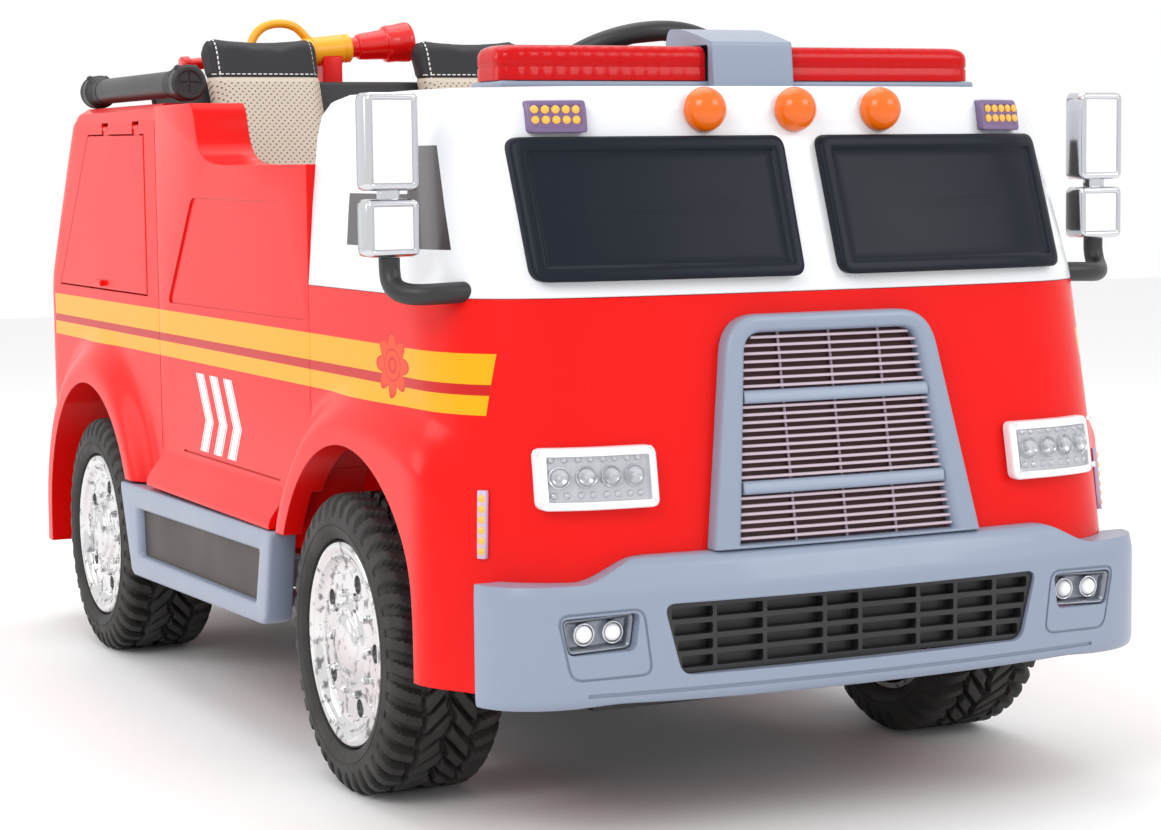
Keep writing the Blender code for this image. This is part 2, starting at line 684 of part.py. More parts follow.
def build_radiator_grille(material):
    """An arched frame with two broad bars, 23 thin slats and 3 upright rods behind them."""
    foot = BUMPER_TOP_Z + GAP
    edge = rounded([(0.1245, foot), (0.0945, 0.4195), (-0.0945, 0.4195), (-0.1245, foot)], 0.024, 5)
    edge = edge[6:18] + [(-0.1245, foot), (0.1245, foot)]
    window = [(0.0985, foot + 0.004), (0.0790, 0.4045), (-0.0790, 0.4045), (-0.0985, foot + 0.004)]
    hole = rounded(window, 0.015, 4)
    hole = hole[5:15] + [(-0.0985, foot + 0.004), (0.0985, foot + 0.004)]
    frame = prism(edge, "Y", -0.0150, -0.0010)
    bevel(frame, 0.0045, 2)
    settle(frame)
    cut(frame, prism(hole, "Y", -0.05, 0.05))
    settle(frame)

    def half_window(z):
        return between(z, [(foot, 0.0995), (0.4045, 0.0805)])

    bars = []
    for z in (0.2835, 0.3545):
        bars.append(((-half_window(z), -0.0125, z - 0.0050), (half_window(z), -0.0010, z + 0.0050)))
    for low, high, count in ((0.2410, 0.2785, 6), (0.2885, 0.3495, 10), (0.3595, 0.4045, 7)):
        pitch = (high - low) / count
        for i in range(count):
            z = low + pitch * (i + 0.5)
            reach = half_window(z) - 0.013 * blend((z - 0.392) / 0.016)
            bars.append(((-reach - 0.001, -0.0095, z - 0.0012), (reach + 0.001, -0.0060, z + 0.0012)))
    join(frame, boxes(bars))
    settle(frame)
    rods = [((x - 0.0011, -0.0056, foot + 0.001), (x + 0.0011, -0.0032, 0.4060))
            for x in (-0.047, 0.0, 0.047)]
    join(frame, boxes(rods))
    publish(drape(frame, step=0.125), "radiator_grille", material)


def build_headlamps(material):
    for side, name in ((-1, "headlamp_right"), (1, "headlamp_left")):
        outline = [(0.166, 0.2735), (0.2605, 0.2735), (0.2595, 0.3215), (0.1655, 0.3215)]
        lamp = prism(sided(rounded(outline, 0.006, 3), side), "Y", -0.0125, -0.0015)
        bevel(lamp, 0.0025, 1)
        settle(lamp)
        lens = rounded(inset(outline, 0.0065), 0.003, 2)
        cut(lamp, prism(sided(lens, side), "Y", -0.02, -0.0112))
        publish(drape(lamp, step=0.031), name, material)


def build_markers(material):
    """Amber lamps: two high on the cab's front, and two upright ones at its front corners."""
    for side, name in ((-1, "roof_marker_right"), (1, "roof_marker_left")):
        outline = [(0.187, 0.5655), (0.2325, 0.5655), (0.2325, 0.5915), (0.187, 0.5915)]
        lamp = prism(sided(rounded(outline, 0.003, 2), side), "Y", -0.0090, -0.0035)
        cut(lamp, prism(sided(inset(outline, 0.0045), side), "Y", -0.02, -0.0077))
        publish(drape(lamp, step=0.021), name, material)
    for side, name in ((-1, "side_marker_right"), (1, "side_marker_left")):
        rings = []
        for z, t in ((0.2350, 0.375), (0.2525, 0.386), (0.2705, 0.398), (0.2880, 0.410)):
            place, normal = corner_place(z, t)
            across = Vector((-normal.y, normal.x))
            corners = [(-1, 0.0008), (1, 0.0008), (1, 0.0042), (-1, 0.0042)]
            ring = [place + across * (0.0043 * u) + normal * out for u, out in corners]
            rings.append([(side * point.x, point.y, z) for point in ring])
        publish(bevel(loft(rings), 0.0009), name, material)


def build_dome_lamps(material):
    """Three amber domes on a strip behind the shell, which they reach through holes in it."""
    strip = box((-0.092, -0.5640, LAMP_Z - 0.005), (0.092, -0.5600, LAMP_Z + 0.005))
    for x in LAMP_XS:
        face = front_surface(x, LAMP_Z - 0.018) - 0.0015
        dome = ball((x, face, LAMP_Z), 0.0195, 14, (1, 0.95, 1))
        cut(dome, box((x - 0.03, face, LAMP_Z - 0.03), (x + 0.03, face + 0.03, LAMP_Z + 0.03)))
        settle(dome)
        join(dome, rod((x, face - 0.004, LAMP_Z), (x, -0.5620, LAMP_Z), 0.0065, 10))
        settle(dome)
        join(strip, dome)
    publish(strip, "roof_dome_lamps", material)


def bumper_ring(z, front, corners=6, fronts=6):
    """The bumper's plan outline at one height."""
    bow = 0.30
    end_x = BUMPER_X - 0.066
    end = Vector((end_x, front + bow * end_x**2))
    corner = Vector((BUMPER_X, end.y + 2 * bow * end_x * 0.066 - 0.004))
    start = Vector((BUMPER_X, corner.y + 0.060))
    half = [Vector((BUMPER_X, -0.57))]
    for i in range(corners):
        t = i / corners
        half.append(start * (1 - t) ** 2 + corner * (2 * t * (1 - t)) + end * t * t)
    for i in range(fronts + 1):
        x = end_x * (1 - i / fronts)
        half.append(Vector((x, front + bow * x * x)))
    points = [(p.x, p.y, z) for p in half]
    return points + [(-x, y, z) for x, y, z in reversed(points[:-1])]


FOG_OUTLINE = [(0.1975, 0.1655), (0.2520, 0.1640), (0.2575, 0.1930), (0.1935, 0.1950)]
GRILLE_MOUTH = [(0.159, 0.1430), (0.174, 0.2000), (-0.174, 0.2000), (-0.159, 0.1430)]


def build_bumper(material):
    levels = [(0.1210, -0.6790), (0.1290, BUMPER_Y), (0.2060, BUMPER_Y), (BUMPER_BAR_Z, -0.6840),
              (BUMPER_TOP_Z - 0.004, -0.6770), (BUMPER_TOP_Z, -0.6730)]
    bumper = loft([bumper_ring(z, front) for z, front in levels])
    # Away from the middle the bar is lower, past an S-shaped shoulder.
    for side in (1, -1):
        shoulder = [(0.184, 0.25), (0.190, BUMPER_TOP_Z - 0.001), (0.199, 0.2335), (0.209, 0.2265),
                    (0.221, 0.2205), (0.240, 0.2180), (0.34, 0.2180), (0.34, 0.25)]
        cut(bumper, prism(sided(shoulder, side), "Y", -0.75, -0.50))
    cut(bumper, box((-0.40, -0.6170, 0.05), (0.40, -0.50, 0.30)))
    cab = loft([nose_ring(z, -0.0008, tail=-0.50, flared=True)
                for z in [0.05, *LOWER_LEVELS[1:8], 0.32]])
    cut(bumper, cab)
    cut(bumper, box((-0.24, -0.664, 0.05), (0.24, -0.60, 0.20)))
    cut(bumper, prism(rounded(GRILLE_MOUTH, 0.010, 3), "Y", -0.75, -0.60))
    for side in (1, -1):
        cut(bumper, prism(sided(rounded(FOG_OUTLINE, 0.006, 2), side), "Y", -0.75, -0.654))
    return publish(bumper, "front_bumper", material)


def build_bumper_grille(material):
    """A black plate of four rows, set back in the bumper's mouth and let in behind it."""
    outline = rounded(inset(GRILLE_MOUTH, 0.0006), 0.0095, 3)
    columns = [-0.168, -0.128, -0.083, -0.028, 0.005, 0.060, 0.096, 0.134, 0.168]
    rows = [0.1455, 0.1590, 0.1715, 0.1845, 0.1975]
    holes = []
    for low, high in zip(rows, rows[1:]):
        for left, right in zip(columns, columns[1:]):
            bottom, top = low + 0.0022, high - 0.0022
            reach = between(bottom, [(0.143, 0.1560), (0.200, 0.1710)])
            u0, u1 = max(left + 0.0018, -reach), min(right - 0.0018, reach)
            holes.append([(u0, bottom), (u1, bottom), (u1, top), (u0, top)])
    grille = prism(outline, "Y", -0.6765, -0.6655, holes)
    publish(grille, "bumper_grille", material)


def build_fog_lamps(material):
    for side, name in ((-1, "fog_lamp_right"), (1, "fog_lamp_left")):
        outline = rounded(inset(FOG_OUTLINE, 0.0006), 0.0055, 2)
        lamp = prism(sided(outline, side), "Y", -0.6640, -0.6565)
        for x in (0.2115, 0.2365):
            join(lamp, rod((side * x, -0.6600, 0.1800), (side * x, -0.6668, 0.1800), 0.0082, 16))
        publish(lamp, name, material)


def build_light_bar(base_material, lens_material, strap_material):
    front, back = -0.502, -0.442
    foot, seat, top = CAB_TOP_Z + GAP, 0.6090, 0.6385
    base = box((-0.229, front - 0.001, foot), (0.229, back + 0.001, seat), 0.003, 2)
    publish(base, "light_bar_base", base_material)
    strap_half = 0.0385
    for side, name in ((-1, "light_bar_lens_right"), (1, "light_bar_lens_left")):
        low, high = sorted((side * (strap_half + 0.0012), side * 0.228))
        lens = box((low, front, seat + GAP), (high, back, top), 0.009, 3)
        settle(lens)
        for vert in lens.data.vertices:  # the outer end is rounded in plan
            vert.co.z = max(vert.co.z, seat + GAP)
        publish(lens, name, lens_material)
    outline = [(front - 0.0125, foot), (front - 0.0090, top + 0.0030), (front - 0.0060, top + 0.0055),
               (-0.480, 0.6495), (-0.456, 0.6545), (-0.440, 0.6550), (-0.431, 0.6510), (-0.427, 0.6420),
               (back + 0.016, foot), (back + 0.0015, foot), (back + 0.0015, top + 0.0006),
               (front - 0.0020, top + 0.0006), (front - 0.0020, foot)]
    strap = prism(outline, "X", -strap_half, strap_half)
    bevel(strap, 0.0012, 1)
    publish(strap, "light_bar_strap", strap_material)


MIRROR_X = 0.339
MIRROR_Y = -0.5300


def build_mirrors(arm_material, head_material):
    for side, word in ((-1, "right"), (1, "left")):
        route = [(0.2740, -0.5590, 0.4415), (0.2980, -0.5610, 0.4410), (0.3110, -0.5600, 0.4405),
                 (0.3225, -0.5560, 0.4400), (0.3310, -0.5485, 0.4405), (0.3365, -0.5405, 0.4430),
                 (0.3388, -0.5335, 0.4480), (MIRROR_X, MIRROR_Y, 0.4580), (MIRROR_X, MIRROR_Y, 0.4688)]
        arm = pipe([(side * x, y, z) for x, y, z in route], 0.0085, 10)
        cab = loft([nose_ring(z, -0.0006, tail=-0.40) for z in (0.42, BELT_Z, 0.449, 0.47)])
        cut(arm, cab)
        publish(arm, "mirror_arm_" + word, arm_material)
        middle = side * MIRROR_X
        head = box((middle - 0.0225, MIRROR_Y - 0.013, 0.4694), (middle + 0.0225, MIRROR_Y + 0.013, 0.5150),
                   0.005, 1)
        upper = box((middle - 0.0225, MIRROR_Y - 0.013, 0.5215), (middle + 0.0225, MIRROR_Y + 0.013, 0.5985),
                    0.005, 1)
        neck = box((middle - 0.0080, MIRROR_Y - 0.006, 0.5100), (middle + 0.0080, MIRROR_Y + 0.006, 0.5260))
        join(head, upper, neck)
        publish(head, "mirror_head_" + word, head_material, (middle, MIRROR_Y, 0.4694))


# ---- fittings on the sides ----------------------------------------------------------
def build_side_steps(material):
    """Grey frames round a sunk tread plate, each on two arms from the chassis."""
    outline = [(0.306, 0.2040), (-0.1955, 0.2080), (-0.1765, 0.1190), (0.2660, 0.1070)]
    tread = [(0.240, 0.1800), (-0.1620, 0.1875), (-0.1480, 0.1370), (0.2360, 0.1310)]
    for side, name in ((-1, "side_step_right"), (1, "side_step_left")):
        low, high = sorted((side * 0.304, side * 0.3300))
        step = prism(rounded(outline, 0.006, 2), "X", low, high)
        bevel(step, 0.002, 1, 50)
        settle(step)
        sunk_low, sunk_high = sorted((side * 0.3240, side * 0.34))
        cut(step, prism(rounded(tread, 0.004, 2), "X", sunk_low, sunk_high))
        back_low, back_high = sorted((side * 0.28, side * 0.3180))
        cut(step, prism(inset(outline, 0.008), "X", back_low, back_high))
        arm_low, arm_high = sorted((side * (CHASSIS_X + GAP), side * 0.320))
        for y in (-0.135, 0.150):
            join(step, box((arm_low, y, 0.1270), (arm_high, y + 0.030, 0.1400)))
        publish(step, name, material)


def build_hatches(material):
    for side, name in ((-1, "hatch_right"), (1, "hatch_left")):
        low, high = sorted((side * (HALF_W - 0.0055), side * (HALF_W + 0.0005)))
        hatch = prism(HATCH, "X", low, high)
        bevel(hatch, 0.0012, 1)
        settle(hatch)
        pull_low, pull_high = sorted((side * (HALF_W - 0.002), side * (HALF_W + 0.0060)))
        join(hatch, box((pull_low, 0.420, 0.4100), (pull_high, 0.448, 0.4165), 0.0015))
        x = side * HINGE_X
        for y in HINGE_YS:
            join(hatch, rod((x, y - 0.0105, HINGE_Z), (x, y + 0.0105, HINGE_Z), 0.0035, 12))
            leaf_low, leaf_high = sorted((side * (HALF_W - 0.0050), side * (HALF_W - 0.0010)))
            join(hatch, box((leaf_low, y - 0.0100, 0.5700), (leaf_high, y + 0.0100, HINGE_Z)))
        publish(hatch, name, material, (x, (HINGE_YS[0] + HINGE_YS[1]) / 2, HINGE_Z))


def build_hose_tube(material):
    """The black hose locker on the right shoulder: a tube with a screwed cap at each end."""
    x, z = -0.2810, 0.6280
    profile = [(0.0, 0.363), (0.0165, 0.363), (0.0188, 0.361), (0.0188, 0.341), (0.0165, 0.339),
               (0.0141, 0.339), (0.0141, 0.024), (0.0165, 0.024), (0.0188, 0.022), (0.0188, 0.002),
               (0.0165, 0.0), (0.0, 0.0)]
    place = Matrix.Translation((x, 0.172, z)) @ Matrix.Rotation(math.radians(-90), 4, "X")
    tube = turned(profile, 16, place)
    lugs = []
    for y in (0.1830, 0.5240):
        for turn in (-0.009, 0.009):
            lugs.append(((x + turn - 0.003, y - 0.005, z + 0.012), (x + turn + 0.003, y + 0.005, z + 0.0205)))
    join(tube, boxes(lugs))
    publish(tube, "hose_tube", material)


GUN_X0 = -0.205
GUN_START = Vector((GUN_X0, 0.450, 0.6560))
GUN_AXIS = Vector((1.0, 0.0, 0.105)).normalized()
GUN_TAIL_R = 0.0068
GUN_GRIP_R = 0.0165


def gun_point(distance, lift=0.0):
    """A place along the water gun from its tail, and over its axis."""
    up = Vector((-GUN_AXIS.z, 0.0, GUN_AXIS.x))
    return GUN_START + GUN_AXIS * distance + up * lift


def build_water_gun(barrel_material, grip_material):
    place = Matrix.Translation(GUN_START) @ GUN_AXIS.to_track_quat("Z", "Y").to_matrix().to_4x4()
    profile = [(0.0, 0.282), (0.0205, 0.281), (0.0235, 0.277), (0.0215, 0.250), (0.0175, 0.248),
               (0.0150, 0.216), (0.0115, 0.214), (0.0115, 0.206), (GUN_TAIL_R, 0.2058),
               (GUN_TAIL_R, 0.012), (0.0100, 0.0105), (0.0100, 0.001), (0.0090, 0.0), (0.0, 0.0)]
    publish(turned(profile, 16, place), "water_gun_barrel", barrel_material, GUN_START)
    sleeve = [(GUN_TAIL_R + 0.0006, 0.2050), (GUN_GRIP_R - 0.001, 0.2050), (GUN_GRIP_R, 0.2035),
              (GUN_GRIP_R, 0.1500), (GUN_GRIP_R - 0.001, 0.1485), (GUN_TAIL_R + 0.0006, 0.1485)]
    grip = turned(sleeve[::-1], 16, place)
    route = [gun_point(0.158, 0.012), gun_point(0.148, 0.026), gun_point(0.132, 0.0355),
             gun_point(0.112, 0.0365), gun_point(0.094, 0.0290), gun_point(0.086, 0.0150)]
    handle = pipe(route, 0.0050, 8)
    join(grip, handle)
    publish(grip, "water_gun_grip", grip_material)


# ---- seats --------------------------------------------------------------------------
def seat_y(z):
    return SEAT_FACE.y + (z - SEAT_FACE.z) * SEAT_SLOPE


def build_seats(pad_material, panel_material):
    low, high = BENCH_Z + GAP, BENCH_Z + 0.046
    cushion = box((-0.240, 0.012, low), (0.240, 0.260, high), 0.012, 2)
    publish(cushion, "seat_cushion", pad_material)
    depth = 0.046  # backrest pads, along Y
    foot, top = BENCH_Z + 0.048, 0.690
    panel_foot, panel_top = BENCH_Z + 0.001, 0.637
    gap = 0.0006
    outline = [(seat_y(panel_foot) + depth + gap, panel_foot), (seat_y(panel_top) + depth + gap, panel_top),
               (seat_y(panel_top) + depth + 0.019, panel_top),
               (seat_y(panel_foot) + depth + 0.019, panel_foot)]
    panel = prism(outline, "X", -0.2505, 0.2505)
    bevel(panel, 0.004, 2)
    publish(panel, "seat_back_panel", panel_material)
    pad = [(seat_y(foot), foot), (seat_y(top - 0.012), top - 0.012), (seat_y(top) + 0.014, top),
           (seat_y(top) + depth - 0.004, top), (seat_y(foot) + depth, foot)]
    for side, name in ((-1, "backrest_right"), (1, "backrest_left")):
        middle = side * SEAT_X
        backrest = prism(pad, "X", middle - SEAT_W / 2, middle + SEAT_W / 2)
        bevel(backrest, 0.010, 2)
        publish(backrest, name, pad_material)


# ---- wheels -------------------------------------------------------------------------
def build_tyre(name, side, axle_y, material):
    """A chunky tyre: shoulder blocks stand out in 16 places round the tread."""
    lugs = 16
    depth = 0.0055
    half = TYRE_W / 2
    sidewall = [(RIM_R + 0.0005, half - 0.005), (RIM_R + 0.005, half), (TYRE_R - 0.017, half),
                (TYRE_R, half - 0.013)]
    profile = sidewall + [(radius, -height) for radius, height in reversed(sidewall)]
    tyre = turned(profile, lugs * 3)
    for vert in tyre.data.vertices:
        radius = math.hypot(vert.co.x, vert.co.y)
        if radius < TYRE_R - 0.010:
            continue
        turn = round(math.degrees(math.atan2(vert.co.y, vert.co.x)) / (120 / lugs))
        if turn % 3 == 1:
            shrink = (radius - depth) / radius
            vert.co.x *= shrink
            vert.co.y *= shrink
    centre = Vector((side * WHEEL_X, axle_y, TYRE_R))
    tyre.data.transform(Matrix.Translation(centre) @ Matrix.Rotation(math.radians(90), 4, "Y"))
    publish(tyre, name, material, centre, 25)


def build_wheel(name, side, axle_y, material):
    """Bright truck-style wheel: a dished face with a domed cap and five round holes."""
    half = TYRE_W / 2
    face = half - 0.0040
    profile = [(0.0, face + 0.002), (0.025, face - 0.001), (0.036, face - 0.007), (0.070, face - 0.008),
               (0.077, face - 0.001), (0.086, face), (RIM_R, face - 0.004), (RIM_R, -half + 0.007),
               (RIM_R - 0.006, -half + 0.007), (RIM_R - 0.006, face - 0.028), (0.020, face - 0.028),
               (0.020, -half + 0.004), (AXLE_R + 0.0006, -half + 0.004), (AXLE_R + 0.0006, face - 0.020),
               (0.0, face - 0.020)]
    wheel = turned(profile, 20, Matrix.Rotation(math.radians(4), 4, "Z"))
    for i in range(5):
        turn = math.radians(90 + 36 + 72 * i)
        x, y = 0.0565 * math.cos(turn), 0.0565 * math.sin(turn)
        cut(wheel, rod((x, y, 0.0), (x, y, 0.08), 0.0080, 8))
    settle(wheel)
    centre = Vector((side * WHEEL_X, axle_y, TYRE_R))
    turn = Matrix.Rotation(math.radians(90 * side), 4, "Y")
    wheel.data.transform(Matrix.Translation(centre) @ turn)
    publish(wheel, name, material, centre)


# ---- chassis, drive and controls ----------------------------------------------------
CHASSIS_X = 0.160
CHASSIS_FOOT_Z = 0.085
CHASSIS_TOP_Z = FLOOR_Z - 0.001


def build_chassis(material):
    """An open tray with fork arms for the kingpins and lugs for the rear axle."""
    tray = box((-CHASSIS_X, -0.520, CHASSIS_FOOT_Z), (CHASSIS_X, 0.620, CHASSIS_TOP_Z))
    cut(tray, box((-CHASSIS_X + 0.004, -0.516, CHASSIS_FOOT_Z + 0.004),
                  (CHASSIS_X - 0.004, 0.616, CHASSIS_TOP_Z + 0.05)))
    forks = []
    for side in (1, -1):
        low, high = sorted((side * (CHASSIS_X - 0.002), side * (KINGPIN_X + 0.012)))
        forks.append(((low, FRONT_AXLE_Y - 0.014, 0.1000), (high, FRONT_AXLE_Y + 0.014, 0.1100)))
        forks.append(((low, FRONT_AXLE_Y - 0.014, 0.1510), (high, FRONT_AXLE_Y + 0.014, 0.1610)))
    join(tray, boxes(forks))
    lugs = [((-CHASSIS_X + 0.002, REAR_AXLE_Y - 0.022, 0.087), (-CHASSIS_X + 0.016, REAR_AXLE_Y + 0.022, 0.160)),
            ((CHASSIS_X - 0.016, REAR_AXLE_Y - 0.022, 0.087), (CHASSIS_X - 0.002, REAR_AXLE_Y + 0.022, 0.160))]
    join(tray, boxes(lugs))
    settle(tray)
    for side in (1, -1):
        cut(tray, rod((side * KINGPIN_X, FRONT_AXLE_Y, 0.09), (side * KINGPIN_X, FRONT_AXLE_Y, 0.17), 0.0062))
    cut(tray, rod((-0.2, REAR_AXLE_Y, TYRE_R), (0.2, REAR_AXLE_Y, TYRE_R), AXLE_R + 0.0006, 20))
    # Windows for the tie rod and its fork, through both side walls.
    cut(tray, box((-0.2, TIE_ROD_Y - 0.071, 0.1125), (0.2, TIE_ROD_Y + 0.014, 0.142)))
    publish(tray, "chassis", material)


def build_rear_axle(material):
    reach = WHEEL_X + TYRE_W / 2 - 0.030
    axle = rod((-reach, REAR_AXLE_Y, TYRE_R), (reach, REAR_AXLE_Y, TYRE_R), AXLE_R)
    publish(axle, "rear_axle", material)


def build_gearboxes(material):
    """A motor and reduction gear at each rear wheel, round the axle."""
    for side, name in ((-1, "motor_gearbox_right"), (1, "motor_gearbox_left")):
        low, high = sorted((side * 0.1020, side * 0.1420))
        case = [(REAR_AXLE_Y - 0.036, 0.0905), (REAR_AXLE_Y + 0.030, 0.0905),
                (REAR_AXLE_Y + 0.036, 0.150), (REAR_AXLE_Y - 0.030, 0.1640), (REAR_AXLE_Y - 0.095, 0.150),
                (REAR_AXLE_Y - 0.095, 0.105)]
        gearbox = prism(rounded(case, 0.010, 2), "X", low, high)
        motor_y = REAR_AXLE_Y - 0.070
        start, end = side * 0.1030, side * 0.0420
        join(gearbox, rod((start, motor_y, 0.127), (end, motor_y, 0.127), 0.0180, 20))
        settle(gearbox)
        cut(gearbox, rod((-0.2, REAR_AXLE_Y, TYRE_R), (0.2, REAR_AXLE_Y, TYRE_R), AXLE_R + 0.0006, 20))
        publish(gearbox, name, material)


def build_battery(material):
    low, high = FLOOR_Z + WALL + GAP, 0.272
    battery = box((-0.078, 0.060, low), (0.078, 0.160, high), 0.003)
    terminals = [((x - 0.006, 0.075, high - 0.001), (x + 0.006, 0.087, high + 0.010)) for x in (-0.055, 0.055)]
    join(battery, boxes(terminals))
    publish(battery, "battery", material)


def build_knuckles(material):
    """Kingpin, stub axle and steering arm of each front wheel."""
    for side, name in ((-1, "steering_knuckle_right"), (1, "steering_knuckle_left")):
        x = side * KINGPIN_X
        knuckle = rod((x, FRONT_AXLE_Y, 0.1104), (x, FRONT_AXLE_Y, 0.1506), 0.0115, 16)
        join(knuckle, rod((x, FRONT_AXLE_Y, 0.1000), (x, FRONT_AXLE_Y, 0.1610), 0.0056, 16))
        reach = side * (WHEEL_X + TYRE_W / 2 - 0.030)
        join(knuckle, rod((x, FRONT_AXLE_Y, TYRE_R), (reach, FRONT_AXLE_Y, TYRE_R), AXLE_R, 16))
        low, high = sorted((x - 0.006, x + 0.006))
        join(knuckle, box((low, FRONT_AXLE_Y, 0.1325), (high, TIE_ROD_Y + 0.006, 0.1395)))
        join(knuckle, rod((x, TIE_ROD_Y, 0.1180), (x, TIE_ROD_Y, 0.1350), 0.0030, 10))
        publish(knuckle, name, material, (x, FRONT_AXLE_Y, TYRE_R))


def column_point(distance):
    """A place along the steering column, measured from the steering wheel's centre."""
    return WHEEL_CENTRE + COLUMN_AXIS * distance


CRANK_AT = 0.575  # where the column's crank starts
CRANK_R = 0.0275


def build_steering(column_material, rod_material, wheel_material, horn_material):
    bottom = column_point(CRANK_AT)
    down = Vector((0.0, 0.8, -0.6))
    tip = bottom + down * CRANK_R
    column = rod(column_point(0.022), bottom, 0.0068, 12)
    join(column, rod(bottom - COLUMN_AXIS * 0.004, tip, 0.0035, 12), ball(tip, 0.0072, 12))
    publish(column, "steering_column", column_material, WHEEL_CENTRE)

    tie = rod((-KINGPIN_X + 0.006, TIE_ROD_Y, TIE_ROD_Z), (KINGPIN_X - 0.006, TIE_ROD_Y, TIE_ROD_Z), 0.0045, 12)
    for side in (1, -1):
        x = side * KINGPIN_X
        join(tie, rod((x, TIE_ROD_Y, TIE_ROD_Z - 0.004), (x, TIE_ROD_Y, TIE_ROD_Z + 0.004), 0.0105, 16))
    fork = []
    for low, high in ((-0.0125, -0.0084), (0.0084, 0.0125)):
        fork.append(((SEAT_X + low, tip.y - 0.012, 0.1180), (SEAT_X + high, TIE_ROD_Y + 0.003, 0.1365)))
    join(tie, boxes(fork))
    settle(tie)
    for side in (1, -1):
        x = side * KINGPIN_X
        cut(tie, rod((x, TIE_ROD_Y, 0.10), (x, TIE_ROD_Y, 0.15), 0.0066, 16))
    publish(tie, "tie_rod", rod_material)

    place = Matrix.Translation(WHEEL_CENTRE) @ (-COLUMN_AXIS).to_track_quat("Z", "X").to_matrix().to_4x4()
    bpy.ops.mesh.primitive_torus_add(major_radius=STEERING_R - 0.0105, minor_radius=0.0105,
                                     major_segments=24, minor_segments=8)
    rim = bpy.context.active_object
    for collection in list(rim.users_collection):
        collection.objects.unlink(rim)
    TOOLS.objects.link(rim)
    hub = turned([(0.0, -0.004), (0.036, -0.006), (0.036, -0.018), (0.016, -0.024), (0.0, -0.024)], 24)
    join(rim, hub)
    spoke = [(0.030, -0.011), (STEERING_R - 0.008, -0.008), (STEERING_R - 0.008, 0.008), (0.030, 0.011)]
    for angle in (0, 180, 270):
        arm = prism(spoke, "Z", -0.0120, -0.0035)
        arm.data.transform(Matrix.Rotation(math.radians(angle + COLUMN_TWIST), 4, "Z"))
        join(rim, arm)
    settle(rim)
    cut(rim, rod((0, 0, -0.0105), (0, 0, 0.02), 0.0222, 20))
    cut(rim, rod((0, 0, -0.05), (0, 0, -0.0205), 0.0075, 16))
    settle(rim)
    rim.data.transform(place)
    publish(rim, "steering_wheel", wheel_material, WHEEL_CENTRE)

    horn = turned([(0.0, 0.0005), (0.012, 0.0), (0.0200, -0.0020), (0.0215, -0.0070), (0.0, -0.0070)], 20, place)
    publish(horn, "horn_button", horn_material, WHEEL_CENTRE)


COLUMN_TWIST = -90.0  # two spokes lie across the vehicle and the third points down
DASH_Y = -0.222
SWITCH_AT = Vector((0.205, DASH_Y, 0.500))
SWITCH_PIN = Vector((0.205, DASH_Y - 0.008, 0.500))
LEVER_AT = Vector((0.030, -0.245, 0.450))
PEDAL_AT = Vector((0.062, -0.302, 0.184))


def build_dashboard(material):
    """The cab's rear face: a hollow panel with a cowl that carries the steering column."""
    profile = [(-0.2500, 0.5715), (DASH_Y, 0.5560), (DASH_Y, 0.3100), (-0.2420, 0.2960), (-0.2615, 0.2960),
               (-0.2615, 0.3000), (-0.2440, 0.3000), (DASH_Y - 0.004, 0.3120), (DASH_Y - 0.004, 0.5535),
               (-0.2510, 0.5675), (-0.2900, 0.5675), (-0.2900, 0.5715)]
    dash = prism(profile, "X", -0.2505, 0.2505)
    flange = [(-0.2825, 0.4400), (0.2825, 0.4400), (0.2825, 0.5735), (-0.2825, 0.5735)]
    window = [(-0.2450, 0.4000), (0.2450, 0.4000), (0.2450, 0.5690), (-0.2450, 0.5690)]
    join(dash, cut(prism(flange, "Y", -0.2660, -0.2620), prism(window, "Y", -0.2700, -0.2580)))
    join(dash, rod(column_point(0.105), column_point(0.370), 0.0270, 20, 0.0560))
    settle(dash)
    # The cowl is open at the back of the panel.
    cut(dash, rod(column_point(0.130), column_point(0.375), 0.0225, 20, 0.0520))
    settle(dash)
    cut(dash, rod(column_point(0.02), column_point(0.40), 0.0085, 16))
    cut(dash, box((SWITCH_AT.x - 0.0115, -0.27, SWITCH_AT.z - 0.0155), (SWITCH_AT.x + 0.0115, -0.20, SWITCH_AT.z + 0.0155)))
    cut(dash, box((LEVER_AT.x - 0.0080, -0.27, LEVER_AT.z - 0.0280), (LEVER_AT.x + 0.0080, -0.20, LEVER_AT.z + 0.0280)))
    # Brackets behind the panel for the pins of the direction lever and of the power switch.
    brackets = []
    for low, high in ((-0.0125, -0.0090), (0.0090, 0.0125)):
        brackets.append(((LEVER_AT.x + low, LEVER_AT.y - 0.007, LEVER_AT.z - 0.007),
                         (LEVER_AT.x + high, DASH_Y - 0.002, LEVER_AT.z + 0.007)))
    for low, high in ((-0.0150, -0.0120), (0.0120, 0.0150)):
        brackets.append(((SWITCH_PIN.x + low, SWITCH_PIN.y - 0.005, SWITCH_PIN.z - 0.005),
                         (SWITCH_PIN.x + high, DASH_Y - 0.002, SWITCH_PIN.z + 0.005)))
    join(dash, boxes(brackets))
    settle(dash)
    for pin, radius in ((LEVER_AT, 0.0036), (SWITCH_PIN, 0.0021)):
        cut(dash, rod(pin - Vector((0.03, 0, 0)), pin + Vector((0.03, 0, 0)), radius, 14))
    publish(dash, "dashboard", material)


